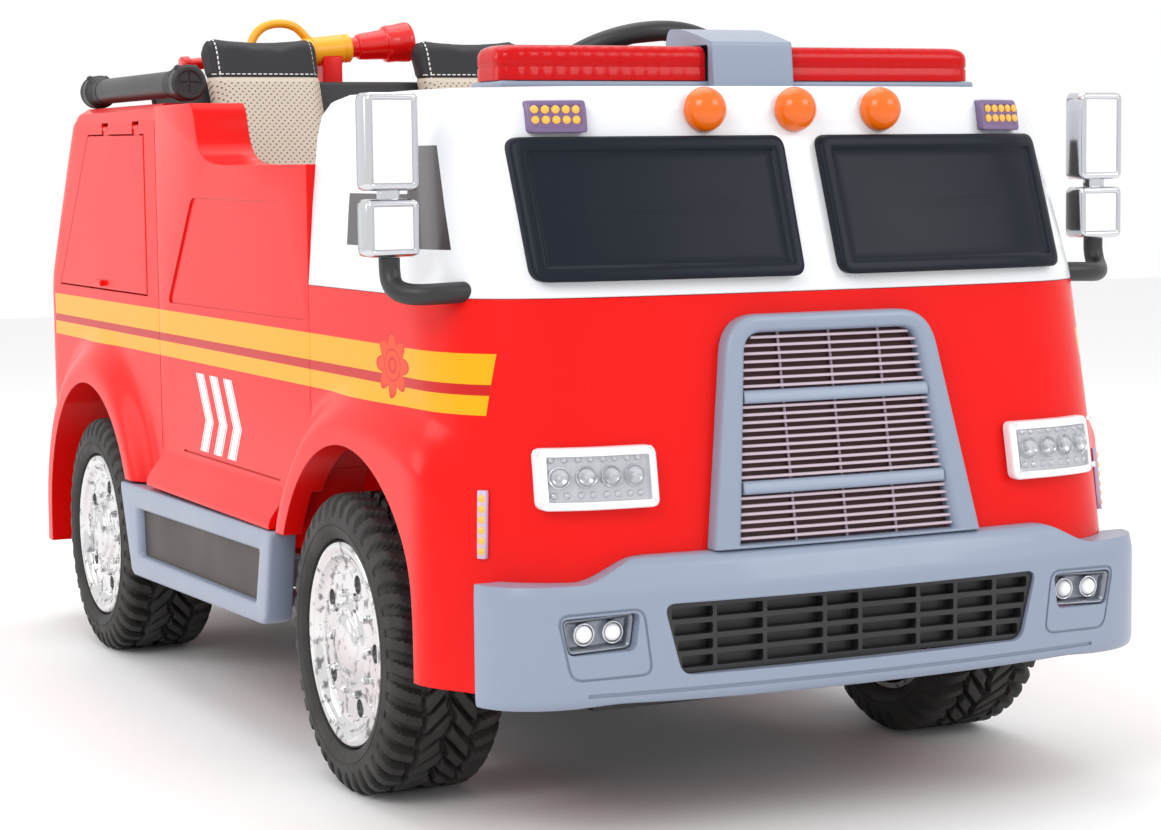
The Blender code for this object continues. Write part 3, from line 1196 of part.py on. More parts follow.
def build_controls(black, red, steel):
    switch = box((SWITCH_AT.x - 0.0100, DASH_Y - 0.011, SWITCH_AT.z - 0.0130),
                 (SWITCH_AT.x + 0.0100, DASH_Y + 0.003, SWITCH_AT.z + 0.0130), 0.0015)
    join(switch, rod(SWITCH_PIN - Vector((0.0142, 0, 0)), SWITCH_PIN + Vector((0.0142, 0, 0)), 0.0016, 10))
    publish(switch, "power_switch", red, SWITCH_PIN)
    lever = rod(LEVER_AT, LEVER_AT + Vector((0, 0.078, 0)), 0.0045, 12)
    join(lever, ball(LEVER_AT + Vector((0, 0.083, 0)), 0.0125, 14))
    join(lever, rod(LEVER_AT - Vector((0.007, 0, 0)), LEVER_AT + Vector((0.007, 0, 0)), 0.0075, 12))
    join(lever, rod(LEVER_AT - Vector((0.012, 0, 0)), LEVER_AT + Vector((0.012, 0, 0)), 0.0030, 12))
    publish(lever, "direction_lever", black, LEVER_AT)
    hinge = PEDAL_AT
    pedal = prism([(hinge.y + 0.004, hinge.z + 0.003), (hinge.y - 0.052, hinge.z + 0.058),
                   (hinge.y - 0.057, hinge.z + 0.053), (hinge.y - 0.001, hinge.z - 0.002)],
                  "X", hinge.x - 0.024, hinge.x + 0.024)
    join(pedal, rod((hinge.x - 0.024, hinge.y, hinge.z), (hinge.x + 0.024, hinge.y, hinge.z), 0.0050, 12))
    join(pedal, rod((hinge.x - 0.029, hinge.y, hinge.z), (hinge.x + 0.029, hinge.y, hinge.z), 0.0030, 12))
    publish(pedal, "accelerator_pedal", black, hinge)


# ---- the whole vehicle --------------------------------------------------------------
def main():
    clear_scene()
    red = paint("red_gloss", (0.78, 0.012, 0.006), 0.18)
    white = paint("white_gloss", (0.86, 0.87, 0.90), 0.22)
    grey = paint("blue_grey", (0.31, 0.36, 0.44), 0.42)
    black = paint("black_plastic", (0.018, 0.018, 0.020), 0.45)
    glass_black = paint("black_gloss", (0.010, 0.011, 0.014), 0.10)
    rubber = paint("tyre_rubber", (0.022, 0.021, 0.020), 0.75)
    chrome = paint("chrome", (0.80, 0.80, 0.80), 0.08, 1.0)
    steel = paint("steel", (0.42, 0.42, 0.43), 0.35, 1.0)
    clear = paint("clear_lens", (0.80, 0.82, 0.85), 0.10)
    amber = paint("amber_lens", (0.95, 0.33, 0.02), 0.18)
    red_lens = paint("red_lens", (0.62, 0.006, 0.010), 0.12)
    yellow = paint("yellow_plastic", (0.93, 0.52, 0.02), 0.35)
    leather = paint("beige_leatherette", (0.70, 0.63, 0.55), 0.60)
    dark_leather = paint("black_leatherette", (0.03, 0.03, 0.035), 0.50)

    build_cab_lower(red)
    build_cab_upper(white)
    build_middle_body(red)
    build_rear_body(red)
    build_windscreens(glass_black)
    build_radiator_grille(grey)
    build_headlamps(clear)
    build_markers(amber)
    build_dome_lamps(amber)
    build_bumper(grey)
    build_bumper_grille(black)
    build_fog_lamps(clear)
    build_light_bar(grey, red_lens, grey)
    build_mirrors(black, chrome)
    build_side_steps(grey)
    build_hatches(red)
    build_hose_tube(black)
    build_water_gun(red, yellow)
    build_seats(leather, dark_leather)
    for place, axle_y in (("front", FRONT_AXLE_Y), ("rear", REAR_AXLE_Y)):
        for word, side in (("right", -1), ("left", 1)):
            build_tyre(f"tyre_{place}_{word}", side, axle_y, rubber)
            build_wheel(f"wheel_{place}_{word}", side, axle_y, chrome)
    build_chassis(black)
    build_rear_axle(steel)
    build_gearboxes(black)
    build_battery(black)
    build_knuckles(steel)
    build_steering(steel, steel, black, red)
    build_dashboard(black)
    build_controls(black, red, steel)


main()
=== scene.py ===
"""The looks of the two-seat ride-on fire truck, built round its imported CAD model."""

import math

import bmesh
import bpy
from mathutils import Matrix, Vector


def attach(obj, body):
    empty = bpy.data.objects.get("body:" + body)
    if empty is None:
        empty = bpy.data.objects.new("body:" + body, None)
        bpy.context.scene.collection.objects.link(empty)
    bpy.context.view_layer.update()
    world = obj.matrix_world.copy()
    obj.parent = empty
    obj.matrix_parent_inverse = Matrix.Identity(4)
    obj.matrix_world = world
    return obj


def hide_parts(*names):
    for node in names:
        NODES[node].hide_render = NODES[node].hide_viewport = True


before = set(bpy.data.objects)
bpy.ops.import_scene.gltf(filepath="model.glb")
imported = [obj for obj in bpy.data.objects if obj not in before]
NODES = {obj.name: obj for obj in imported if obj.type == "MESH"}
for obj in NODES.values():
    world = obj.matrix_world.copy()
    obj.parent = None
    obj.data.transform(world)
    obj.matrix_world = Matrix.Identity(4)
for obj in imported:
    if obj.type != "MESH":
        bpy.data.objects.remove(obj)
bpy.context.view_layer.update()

# ---- dimensions of the body, as in the CAD ------------------------------------------
WALL = 0.006
HALF_W = 0.308
FLARE = 0.019
CAB_SEAM_Y = -0.2535
REAR_SEAM_Y = 0.212
BELT_Z = 0.436
CAB_TOP_Z = 0.603
DOOR_SILL_Z = 0.543
DECK_Z = 0.608
SIDE_FOOT_Z = 0.209
CABIN_X = 0.252
CORNER_R = 0.112
ARCH_Z = 0.1305
FRONT_ARCH_Y, FRONT_ARCH_R = -0.38, 0.1745
FRONT_FOOT_Y = -0.537
REAR_ARCH_Y, REAR_ARCH_R = 0.445, 0.17
FRONT_WELL_Y, FRONT_WELL_R = -0.375, 0.1855
WELL_X = 0.176
BENCH_Z = 0.315
FLOOR_Z = 0.168
TYRE_R, TYRE_HALF = 0.1305, 0.0535
RIM_R = 0.0905
WHEEL_X = 0.272
SEAT_X = 0.127
SEAT_SLOPE = 0.45
SEAT_Y, SEAT_Z = 0.366, 0.642  # a point on the face of the backrests
BLACK_FROM_Z = 0.6405  # the backrests are black above this
SIDE_SEAM_X = 0.059  # from the middle of a backrest to its side seams
STITCH = 0.0062  # length of one stitch and its gap
SIDE_FROM_X = 0.262  # printed marks on the sides stay outside this
WINDOW_FOOT_Z, WINDOW_TOP_Z = 0.474, 0.557  # printed quarter windows
TAIL_R = 0.045  # rear corners of the body
BUMPER_X = 0.309  # half width of the bumper
FOG_Y = -0.66  # face of the fog lamps' pockets
HOLE_CIRCLE_R = 0.0565  # circle of the five holes in a wheel
COLUMN_HEAD = Vector((0.127, -0.015, 0.606))  # middle of the steering wheel
LAMP_Z = 0.5835
SIDES = (("right", -1), ("left", 1))
HUBS = {
    "front_right": (-WHEEL_X, -0.359),
    "front_left": (WHEEL_X, -0.359),
    "rear_right": (-WHEEL_X, 0.424),
    "rear_left": (WHEEL_X, 0.424),
}


# ---- small helpers ------------------------------------------------------------------
def blend(value):
    value = min(max(value, 0.0), 1.0)
    return value * value * (3 - 2 * value)


def between(value, table):
    if value <= table[0][0]:
        return table[0][1]
    for (low, first), (high, second) in zip(table, table[1:]):
        if value <= high:
            return first + (second - first) * (value - low) / (high - low)
    return table[-1][1]


def spread(low, high, count):
    return [low + (high - low) * i / count for i in range(count + 1)]


def placed(name, mesh):
    """A mesh as an object in the scene."""
    obj = bpy.data.objects.new(name, mesh)
    bpy.context.scene.collection.objects.link(obj)
    return obj


def made(name, bm):
    """The object of a finished bmesh."""
    mesh = bpy.data.meshes.new(name)
    bm.to_mesh(mesh)
    bm.free()
    return placed(name, mesh)


def facing(out, across="Y"):
    """A turn that points the Z axis along a direction."""
    return out.to_track_quat("Z", across).to_matrix().to_4x4()


def quadratic(start, pull, end, t):
    """A point on the curve from start to end that leans towards pull."""
    return start * (1 - t) ** 2 + pull * (2 * t * (1 - t)) + end * t * t


def add_mesh(name, verts, faces):
    mesh = bpy.data.meshes.new(name)
    mesh.from_pydata([tuple(v) for v in verts], [], faces)
    mesh.update()
    bm = bmesh.new()
    bm.from_mesh(mesh)
    bmesh.ops.remove_doubles(bm, verts=bm.verts, dist=1e-6)
    bm.normal_update()
    bmesh.ops.recalc_face_normals(bm, faces=bm.faces)
    bm.to_mesh(mesh)
    bm.free()
    return placed(name, mesh)


def rings(name, loops, caps=(True, True), closed=True, around=False):
    """Loops of equally many points joined into a skin; around also joins the last to the first."""
    count = len(loops[0])
    verts = [point for loop in loops for point in loop]
    faces = []
    rows = len(loops) if around else len(loops) - 1
    for row in range(rows):
        a, b = row * count, ((row + 1) % len(loops)) * count
        for i in range(count if closed else count - 1):
            j = (i + 1) % count
            faces.append((a + i, a + j, b + j, b + i))
    if caps[0]:
        faces.append(tuple(range(count)))
    if caps[1]:
        faces.append(tuple(range((len(loops) - 1) * count, len(loops) * count)))
    return add_mesh(name, verts, faces)


def turned(name, profile, steps=64, place=None, round_off=0.0):
    """A (radius, height) profile turned about Z; points on the axis close it."""
    if round_off:
        profile = soften(profile, round_off)
    loops = []
    for k in range(steps):
        a = 2 * math.pi * k / steps
        loops.append([(r * math.cos(a), r * math.sin(a), h) for r, h in profile])
    closed = profile[0][0] > 0
    obj = rings(name, loops, caps=(False, False), closed=closed, around=True)
    if place is not None:
        obj.data.transform(place)
    return obj


def soften(profile, radius, steps=3):
    """Rounds the corners of an open profile."""
    points = [Vector(p) for p in profile]
    out = [points[0]]
    for before, here, after in zip(points, points[1:], points[2:]):
        reach = min(radius, (before - here).length * 0.45, (after - here).length * 0.45)
        first = here + (before - here).normalized() * reach
        last = here + (after - here).normalized() * reach
        for k in range(steps + 1):
            t = k / steps
            out.append(quadratic(first, here, last, t))
    out.append(points[-1])
    return [tuple(p) for p in out]


def tube(name, points, radius, sides=24, smooth=True):
    """A round tube along a smoothed line, with closed ends."""
    line = [Vector(p) for p in points]
    for _ in range(2 if smooth else 0):
        finer = [line[0]]
        for a, b in zip(line, line[1:]):
            finer += [a * 0.75 + b * 0.25, a * 0.25 + b * 0.75]
        line = finer + [line[-1]]
    loops = []
    up = None
    for i, here in enumerate(line):
        ahead = (line[min(i + 1, len(line) - 1)] - line[max(i - 1, 0)]).normalized()
        if up is None:
            up = ahead.orthogonal().normalized()
        up = (up - ahead * up.dot(ahead)).normalized()
        side = ahead.cross(up)
        loops.append([here + (up * math.cos(2 * math.pi * k / sides)
                              + side * math.sin(2 * math.pi * k / sides)) * radius
                      for k in range(sides)])
    return rings(name, loops)


def box(name, low, high, rounding=0.0, segments=3):
    low, high = Vector(low), Vector(high)
    bm = bmesh.new()
    bmesh.ops.create_cube(bm, size=1.0)
    bmesh.ops.scale(bm, vec=high - low, verts=bm.verts)
    bmesh.ops.translate(bm, vec=(low + high) / 2, verts=bm.verts)
    if rounding:
        bmesh.ops.bevel(bm, geom=bm.edges[:] + bm.verts[:], offset=rounding, segments=segments,
                        profile=0.5, affect="EDGES", clamp_overlap=True)
    return made(name, bm)


def joined(name, objects):
    """Several meshes as one object."""
    bm = bmesh.new()
    for obj in objects:
        obj.data.transform(obj.matrix_world)
        bm.from_mesh(obj.data)
        bpy.data.objects.remove(obj)
    return made(name, bm)


def loop_of(corners, radius, steps=6, along=8):
    """A rounded polygon with the same number of points whatever its size."""
    corners = [Vector(c) for c in corners]
    outline = []
    for i, here in enumerate(corners):
        before, after = corners[i - 1], corners[(i + 1) % len(corners)]
        reach = min(radius, (before - here).length * 0.49, (after - here).length * 0.49)
        first = here + (before - here).normalized() * reach
        last = here + (after - here).normalized() * reach
        for k in range(steps + 1):
            t = k / steps
            outline.append(quadratic(first, here, last, t))
        reach_next = min(radius, (after - here).length * 0.49)
        start = here + (after - here).normalized() * reach_next
        stop = after + (here - after).normalized() * reach_next
        for k in range(1, along):
            outline.append(start + (stop - start) * (k / along))
    return [(p.x, p.y) for p in outline]


def inset(corners, distance):
    points = [Vector(corner) for corner in corners]
    middle = sum(points, Vector((0, 0))) / len(points)
    lines = []
    for start, end in zip(points, points[1:] + points[:1]):
        normal = Vector((start.y - end.y, end.x - start.x)).normalized()
        if normal.dot(middle - start) < 0:
            normal.negate()
        lines.append((normal, normal.dot(start) + distance))
    moved = []
    for (n0, d0), (n1, d1) in zip(lines[-1:] + lines[:-1], lines):
        det = n0.x * n1.y - n0.y * n1.x
        moved.append(((d0 * n1.y - d1 * n0.y) / det, (n0.x * d1 - n1.x * d0) / det))
    return moved


def sided(outline, side):
    return outline if side > 0 else [(-u, v) for u, v in reversed(outline)]


def plate(name, corners, radius, levels, drape, steps=6, along=8):
    """A moulded panel: (inset, height, extra radius) levels from its outer edge to its middle.

    drape(u, v, height) gives the place of a point in the row frame.
    """
    loops = []
    for distance, height in levels:
        loop = loop_of(inset(corners, distance), max(radius - distance, 0.0012), steps, along)
        loops.append([drape(u, v, height) for u, v in loop])
    return rings(name, loops)


def cut(obj, *tools, operation="DIFFERENCE"):
    """Booleans, applied at once; the tools are used up."""
    for tool in tools:
        modifier = obj.modifiers.new("cut", "BOOLEAN")
        modifier.operation = operation
        modifier.solver = "EXACT"
        modifier.object = tool
    bpy.context.view_layer.update()
    evaluated = obj.evaluated_get(bpy.context.evaluated_depsgraph_get())
    mesh = bpy.data.meshes.new_from_object(evaluated)
    obj.modifiers.clear()
    obj.data = mesh
    for tool in tools:
        bpy.data.objects.remove(tool)
    return obj


def prism(name, outline, axis, low, high):
    """An outline in (y, z) along X, (x, z) along Y or (x, y) along Z."""
    def place(u, v, w):
        return {"X": (w, u, v), "Y": (u, w, v), "Z": (u, v, w)}[axis]
    return rings(name, [[place(u, v, w) for u, v in outline] for w in (low, high)])


def arc(centre, radius, start, end, steps):
    angles = [math.radians(start + (end - start) * i / steps) for i in range(steps + 1)]
    return [(centre[0] + radius * math.cos(a), centre[1] + radius * math.sin(a)) for a in angles]


def arch(centre_y, radius, foot=0.03, steps=72):
    feet = [(centre_y - radius, foot), (centre_y + radius, foot)]
    return arc((centre_y, ARCH_Z), radius, 0, 180, steps) + feet


def both(name, outline, low, high):
    return [prism(name, outline, "X", low, high), prism(name, outline, "X", -high, -low)]


def bevelled(obj, width, segments=3):
    modifier = obj.modifiers.new("rounded", "BEVEL")
    modifier.width = width
    modifier.segments = segments
    modifier.limit_method = "ANGLE"
    modifier.angle_limit = math.radians(35)
    return obj


def show(obj, body, finish, stands_for=(), smooth_under=38):
    """A finished visual piece: its looks, what it rides on and what it stands for."""
    if obj.type == "MESH":
        obj.data.shade_smooth()
        obj.data.set_sharp_from_angle(angle=math.radians(smooth_under))
    obj.data.materials.clear()
    obj.data.materials.append(MATERIALS[finish])
    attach(obj, body)
    if stands_for:
        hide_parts(*stands_for)
    return obj


# ---- materials ----------------------------------------------------------------------
class Maker:
    """Builds one material out of maths on the place in the row frame."""

    def __init__(self, name, colour, roughness, metallic=0.0, coat=0.0, specular=0.5):
        self.material = bpy.data.materials.new(name)
        self.material.use_nodes = True
        self.tree = self.material.node_tree
        self.shader = self.tree.nodes["Principled BSDF"]
        self.shader.inputs["Base Color"].default_value = (*colour, 1)
        self.shader.inputs["Roughness"].default_value = roughness
        self.shader.inputs["Metallic"].default_value = metallic
        self.shader.inputs["Coat Weight"].default_value = coat
        self.shader.inputs["Coat Roughness"].default_value = 0.04
        self.shader.inputs["Specular IOR Level"].default_value = specular
        self.normal = None
        place = self.node("TexCoord")
        self.place = place.outputs["Object"]
        self.split = None

    def node(self, kind, **settings):
        node = self.tree.nodes.new("ShaderNode" + kind)
        for key, value in settings.items():
            setattr(node, key, value)
        return node

    def feed(self, socket, value):
        if isinstance(value, bpy.types.NodeSocket):
            self.tree.links.new(value, socket)
        elif isinstance(value, tuple):
            socket.default_value = (*value, 1) if len(socket.default_value) == 4 else value
        else:
            socket.default_value = value

    def axis(self, letter):
        if self.split is None:
            self.split = self.node("SeparateXYZ")
            self.feed(self.split.inputs[0], self.place)
        return self.split.outputs[letter]

    def math(self, operation, a, b=0.0, c=0.0):
        node = self.node("Math", operation=operation)
        self.feed(node.inputs[0], a)
        self.feed(node.inputs[1], b)
        self.feed(node.inputs[2], c)
        return node.outputs[0]

    def band(self, value, low, high):
        """1 where low < value < high."""
        over = self.math("GREATER_THAN", value, low)
        under = self.math("LESS_THAN", value, high)
        return self.math("MULTIPLY", over, under)

    def both(self, *masks):
        out = masks[0]
        for mask in masks[1:]:
            out = self.math("MULTIPLY", out, mask)
        return out

    def either(self, *masks):
        out = masks[0]
        for mask in masks[1:]:
            out = self.math("MAXIMUM", out, mask)
        return out

    def mix(self, mask, under, over):
        node = self.node("Mix", data_type="RGBA")
        self.feed(node.inputs[0], mask)
        self.feed(node.inputs[6], under)
        self.feed(node.inputs[7], over)
        return node.outputs[2]

    def noise(self, scale, detail=2.0, stretch=None):
        node = self.node("TexNoise")
        vector = self.place
        if stretch:
            mapping = self.node("Mapping")
            self.feed(mapping.inputs["Vector"], self.place)
            mapping.inputs["Scale"].default_value = stretch
            vector = mapping.outputs[0]
        self.feed(node.inputs["Vector"], vector)
        node.inputs["Scale"].default_value = scale
        node.inputs["Detail"].default_value = detail
        return node.outputs[0]

    def paint(self, colour):
        self.feed(self.shader.inputs["Base Color"], colour)
        return self.material

    def remap(self, value, low, high, to_low=0.0, to_high=1.0):
        node = self.node("MapRange")
        self.feed(node.inputs["Value"], value)
        ends = {"From Min": low, "From Max": high, "To Min": to_low, "To Max": to_high}
        for socket, number in ends.items():
            node.inputs[socket].default_value = number
        return node.outputs[0]

    def saw(self, value, pitch, shift=0.0):
        """Climbs from 0 to 1 over every pitch."""
        return self.math("FRACT", self.math("ADD", self.math("DIVIDE", value, pitch), shift))

    def vary(self, socket, amount, scale, stretch=None):
        """Lets a plain number of the shader drift a little from place to place."""
        value = self.shader.inputs[socket].default_value
        noise = self.noise(scale, 3.0, stretch)
        drift = self.remap(noise, 0.3, 0.7, max(value - amount, 0.0), value + amount)
        self.feed(self.shader.inputs[socket], drift)
        return self

    def edges(self, radius):
        node = self.node("Bevel", samples=4)
        node.inputs["Radius"].default_value = radius
        self.normal = node.outputs[0]
        self.feed(self.shader.inputs["Normal"], self.normal)
        return self

    def bump(self, height, strength, distance=0.001):
        node = self.node("Bump")
        node.inputs["Strength"].default_value = strength
        node.inputs["Distance"].default_value = distance
        self.feed(node.inputs["Height"], height)
        if self.normal is not None:
            self.feed(node.inputs["Normal"], self.normal)
        self.normal = node.outputs[0]
        self.feed(self.shader.inputs["Normal"], self.normal)
        return self


YELLOW = (0.84, 0.37, 0.004)
RED = (0.74, 0.004, 0.003)


def moulded(name, colour, roughness, coat=0.0, grain=(900, 0.05), edge=0.0012, specular=0.5,
            metallic=0.0):
    """Moulded plastic: rounded edges, a fine grain and a little unevenness in the gloss."""
    maker = Maker(name, colour, roughness, metallic, coat, specular)
    maker.vary("Roughness", roughness * 0.15, 9.0)
    maker.edges(edge)
    maker.bump(maker.noise(grain[0], 2.0), grain[1], 0.0004)
    maker.bump(maker.noise(14.0, 1.0), 0.05, 0.0006)
    return maker


def red_body():
    """Glossy red, with two yellow stripes, chevrons and a plain rosette on the sides."""
    maker = moulded("red body", RED, 0.24, 0.06, (700, 0.012), 0.002, 0.16)
    x, y, z = maker.axis("X"), maker.axis("Y"), maker.axis("Z")
    side = maker.math("GREATER_THAN", maker.math("ABSOLUTE", x), SIDE_FROM_X)
    stripes = maker.either(maker.band(z, 0.3695, 0.3935), maker.band(z, 0.3455, 0.361))
    stripes = maker.both(stripes, side, maker.band(y, -0.5915, 0.642))
    between_stripes = maker.both(maker.band(z, 0.3608, 0.3697), side, maker.band(y, -0.5915, 0.642))
    colour = maker.mix(between_stripes, RED, (0.52, 0.012, 0.01))
    colour = maker.mix(stripes, colour, YELLOW)
    # Three chevrons on each door, white with a red line inside.
    lean = maker.math("MULTIPLY", maker.math("ABSOLUTE", maker.math("SUBTRACT", z, 0.289)), 0.62)
    along = maker.math("SUBTRACT", maker.math("SUBTRACT", y, lean), -0.062)
    step = maker.math("MULTIPLY", maker.saw(along, 0.044), 0.044)
    area = maker.both(side, maker.band(along, 0.0, 0.132), maker.band(z, 0.257, 0.335))
    white = maker.both(area, maker.band(step, 0.008, 0.034))
    line = maker.both(white, maker.either(maker.band(step, 0.0105, 0.0125),
                                          maker.band(step, 0.0295, 0.0315)))
    colour = maker.mix(white, colour, (0.88, 0.88, 0.92))
    colour = maker.mix(line, colour, (0.72, 0.03, 0.03))
    # The rosette: rings and petals in dark red over the stripes.
    u = maker.math("DIVIDE", maker.math("SUBTRACT", y, -0.4535), 0.04)
    v = maker.math("DIVIDE", maker.math("SUBTRACT", z, 0.3775), 0.03)
    reach = maker.math("SQRT",
                       maker.math("ADD", maker.math("MULTIPLY", u, u),
                                  maker.math("MULTIPLY", v, v)))
    angle = maker.math("ARCTAN2", v, u)
    petals = maker.math("ABSOLUTE", maker.math("COSINE", maker.math("MULTIPLY", angle, 4.0)))
    petal_edge = maker.math("ADD", maker.math("MULTIPLY", petals, 0.3), 0.58)
    outline = maker.band(maker.math("SUBTRACT", reach, petal_edge), -0.035, 0.035)
    marks = maker.either(outline, maker.band(reach, 0.4, 0.46), maker.band(reach, 0.14, 0.24))
    field = maker.both(side, maker.math("LESS_THAN", reach, petal_edge))
    colour = maker.mix(field, colour, (0.86, 0.055, 0.004))
    colour = maker.mix(maker.both(side, marks), colour, (0.62, 0.008, 0.004))
    return maker.paint(colour)


def white_cab():
    """Glossy white, with a dark quarter window printed on each side."""
    maker = moulded("white cab", (0.78, 0.79, 0.82), 0.24, 0.15, (700, 0.012), 0.002, 0.4)
    x, y, z = maker.axis("X"), maker.axis("Y"), maker.axis("Z")
    side = maker.math("GREATER_THAN", maker.math("ABSOLUTE", x), SIDE_FROM_X)
    front = maker.math("ADD", -0.508,
                       maker.math("MULTIPLY", maker.math("SUBTRACT", WINDOW_TOP_Z, z), -0.434))
    tall = maker.both(maker.math("GREATER_THAN", y, front), maker.band(y, -0.6, -0.476),
                      maker.band(z, WINDOW_FOOT_Z, WINDOW_TOP_Z))
    low = maker.both(maker.band(y, -0.477, -0.345), maker.band(z, WINDOW_FOOT_Z, 0.518))
    window = maker.both(side, maker.either(tall, low))
    return maker.paint(maker.mix(window, (0.78, 0.79, 0.82), (0.06, 0.05, 0.052)))


def clear(name, colour, roughness=0.05, transmission=0.9):
    maker = Maker(name, colour, roughness, 0.0, 0.3)
    maker.shader.inputs["Transmission Weight"].default_value = transmission
    maker.shader.inputs["IOR"].default_value = 1.45
    maker.edges(0.001)
    maker.bump(maker.noise(400, 1.0), 0.02, 0.0004)
    return maker


def ribbed_lens(name, colour, axis, pitch, strength, transmission=0.45):
    """Coloured lamp glass with moulded ribs inside."""
    maker = clear(name, colour, 0.16, transmission)
    wave = maker.math("SINE", maker.math("MULTIPLY", maker.axis(axis), 2 * math.pi / pitch))
    maker.bump(wave, strength, 0.0015)
    maker.shader.inputs["Coat Weight"].default_value = 0.0
    maker.shader.inputs["Specular IOR Level"].default_value = 0.2
    return maker.material


def chrome():
    maker = Maker("chrome", (0.7, 0.7, 0.71), 0.1, 1.0)
    maker.vary("Roughness", 0.05, 30.0)
    spots = maker.remap(maker.noise(95.0, 3.0), 0.55, 0.66)
    colour = maker.mix(spots, (0.7, 0.7, 0.71), (0.22, 0.22, 0.23))
    maker.paint(colour)
    maker.edges(0.001)
    maker.bump(maker.noise(120, 2.0), 0.04, 0.0006)
    return maker.material


def steel():
    maker = Maker("brushed steel", (0.46, 0.46, 0.47), 0.34, 1.0)
    maker.vary("Roughness", 0.1, 300.0, (1.0, 0.05, 1.0))
    maker.edges(0.0006)
    maker.bump(maker.noise(600, 2.0), 0.08, 0.0003)
    return maker.material


def rubber():
    maker = Maker("tyre rubber", (0.022, 0.021, 0.02), 0.62, 0.0, 0.0, 0.4)
    maker.vary("Roughness", 0.1, 25.0)
    maker.bump(maker.noise(900, 3.0), 0.2, 0.0004)
    dust = maker.remap(maker.noise(40, 3.0), 0.45, 0.8)
    colour = maker.mix(dust, (0.02, 0.019, 0.018), (0.036, 0.034, 0.031))
    return maker.paint(colour)


def seat_leather():
    """Beige leatherette with punched holes; the backrests end in black, with white stitches."""
    maker = Maker("seat leatherette", (0.6, 0.53, 0.44), 0.55, 0.0, 0.0, 0.4)
    x, y, z = maker.axis("X"), maker.axis("Y"), maker.axis("Z")
    pitch = 0.0072
    climb = maker.math("ADD", maker.math("MULTIPLY", z, 0.912), maker.math("MULTIPLY", y, 0.41))
    dots = None
    for shift in (0.0, 0.5):
        u = maker.math("SUBTRACT", maker.saw(x, pitch, shift), 0.5)
        v = maker.math("SUBTRACT", maker.saw(climb, pitch, shift), 0.5)
        reach = maker.math("ADD", maker.math("MULTIPLY", u, u), maker.math("MULTIPLY", v, v))
        here = maker.math("LESS_THAN", reach, 0.02)
        dots = here if dots is None else maker.either(dots, here)
    over = maker.math("SUBTRACT", z, BLACK_FROM_Z)
    black = maker.math("GREATER_THAN", over, 0.0)
    holes = maker.both(dots, maker.math("LESS_THAN", over, -0.004))
    seam = maker.band(over, -0.0022, 0.0022)
    dashes = maker.math("GREATER_THAN", maker.saw(x, STITCH), 0.35)
    stitch = maker.both(dashes, maker.band(over, 0.003, 0.0042))
    from_seat = maker.math("SUBTRACT", maker.math("ABSOLUTE", x), SEAT_X)
    off = maker.math("SUBTRACT", maker.math("ABSOLUTE", from_seat), SIDE_SEAM_X)
    side_seam = maker.band(off, -0.0012, 0.0012)
    side_dashes = maker.math("GREATER_THAN", maker.saw(climb, STITCH), 0.35)
    side_stitch = maker.both(black, side_dashes, maker.band(off, -0.0036, -0.0025))
    colour = maker.mix(holes, (0.6, 0.53, 0.44), (0.12, 0.1, 0.08))
    colour = maker.mix(black, colour, (0.012, 0.012, 0.016))
    colour = maker.mix(maker.either(stitch, side_stitch), colour, (0.8, 0.79, 0.76))
    maker.paint(colour)
    maker.bump(maker.noise(260, 3.0), 0.25, 0.0005)
    pits = maker.math("MULTIPLY", maker.either(holes, seam, maker.both(black, side_seam)), -1.0)
    maker.bump(pits, 0.7, 0.001)
    return maker.material


def tread_plate():
    maker = moulded("tread insert", (0.062, 0.05, 0.046), 0.46, 0.0, (500, 0.1), 0.001, 0.2)
    maker.bump(maker.noise(160, 2.0, (1.0, 0.05, 1.0)), 0.25, 0.0005)
    return maker.material


def plastic(*looks):
    return moulded(*looks).material


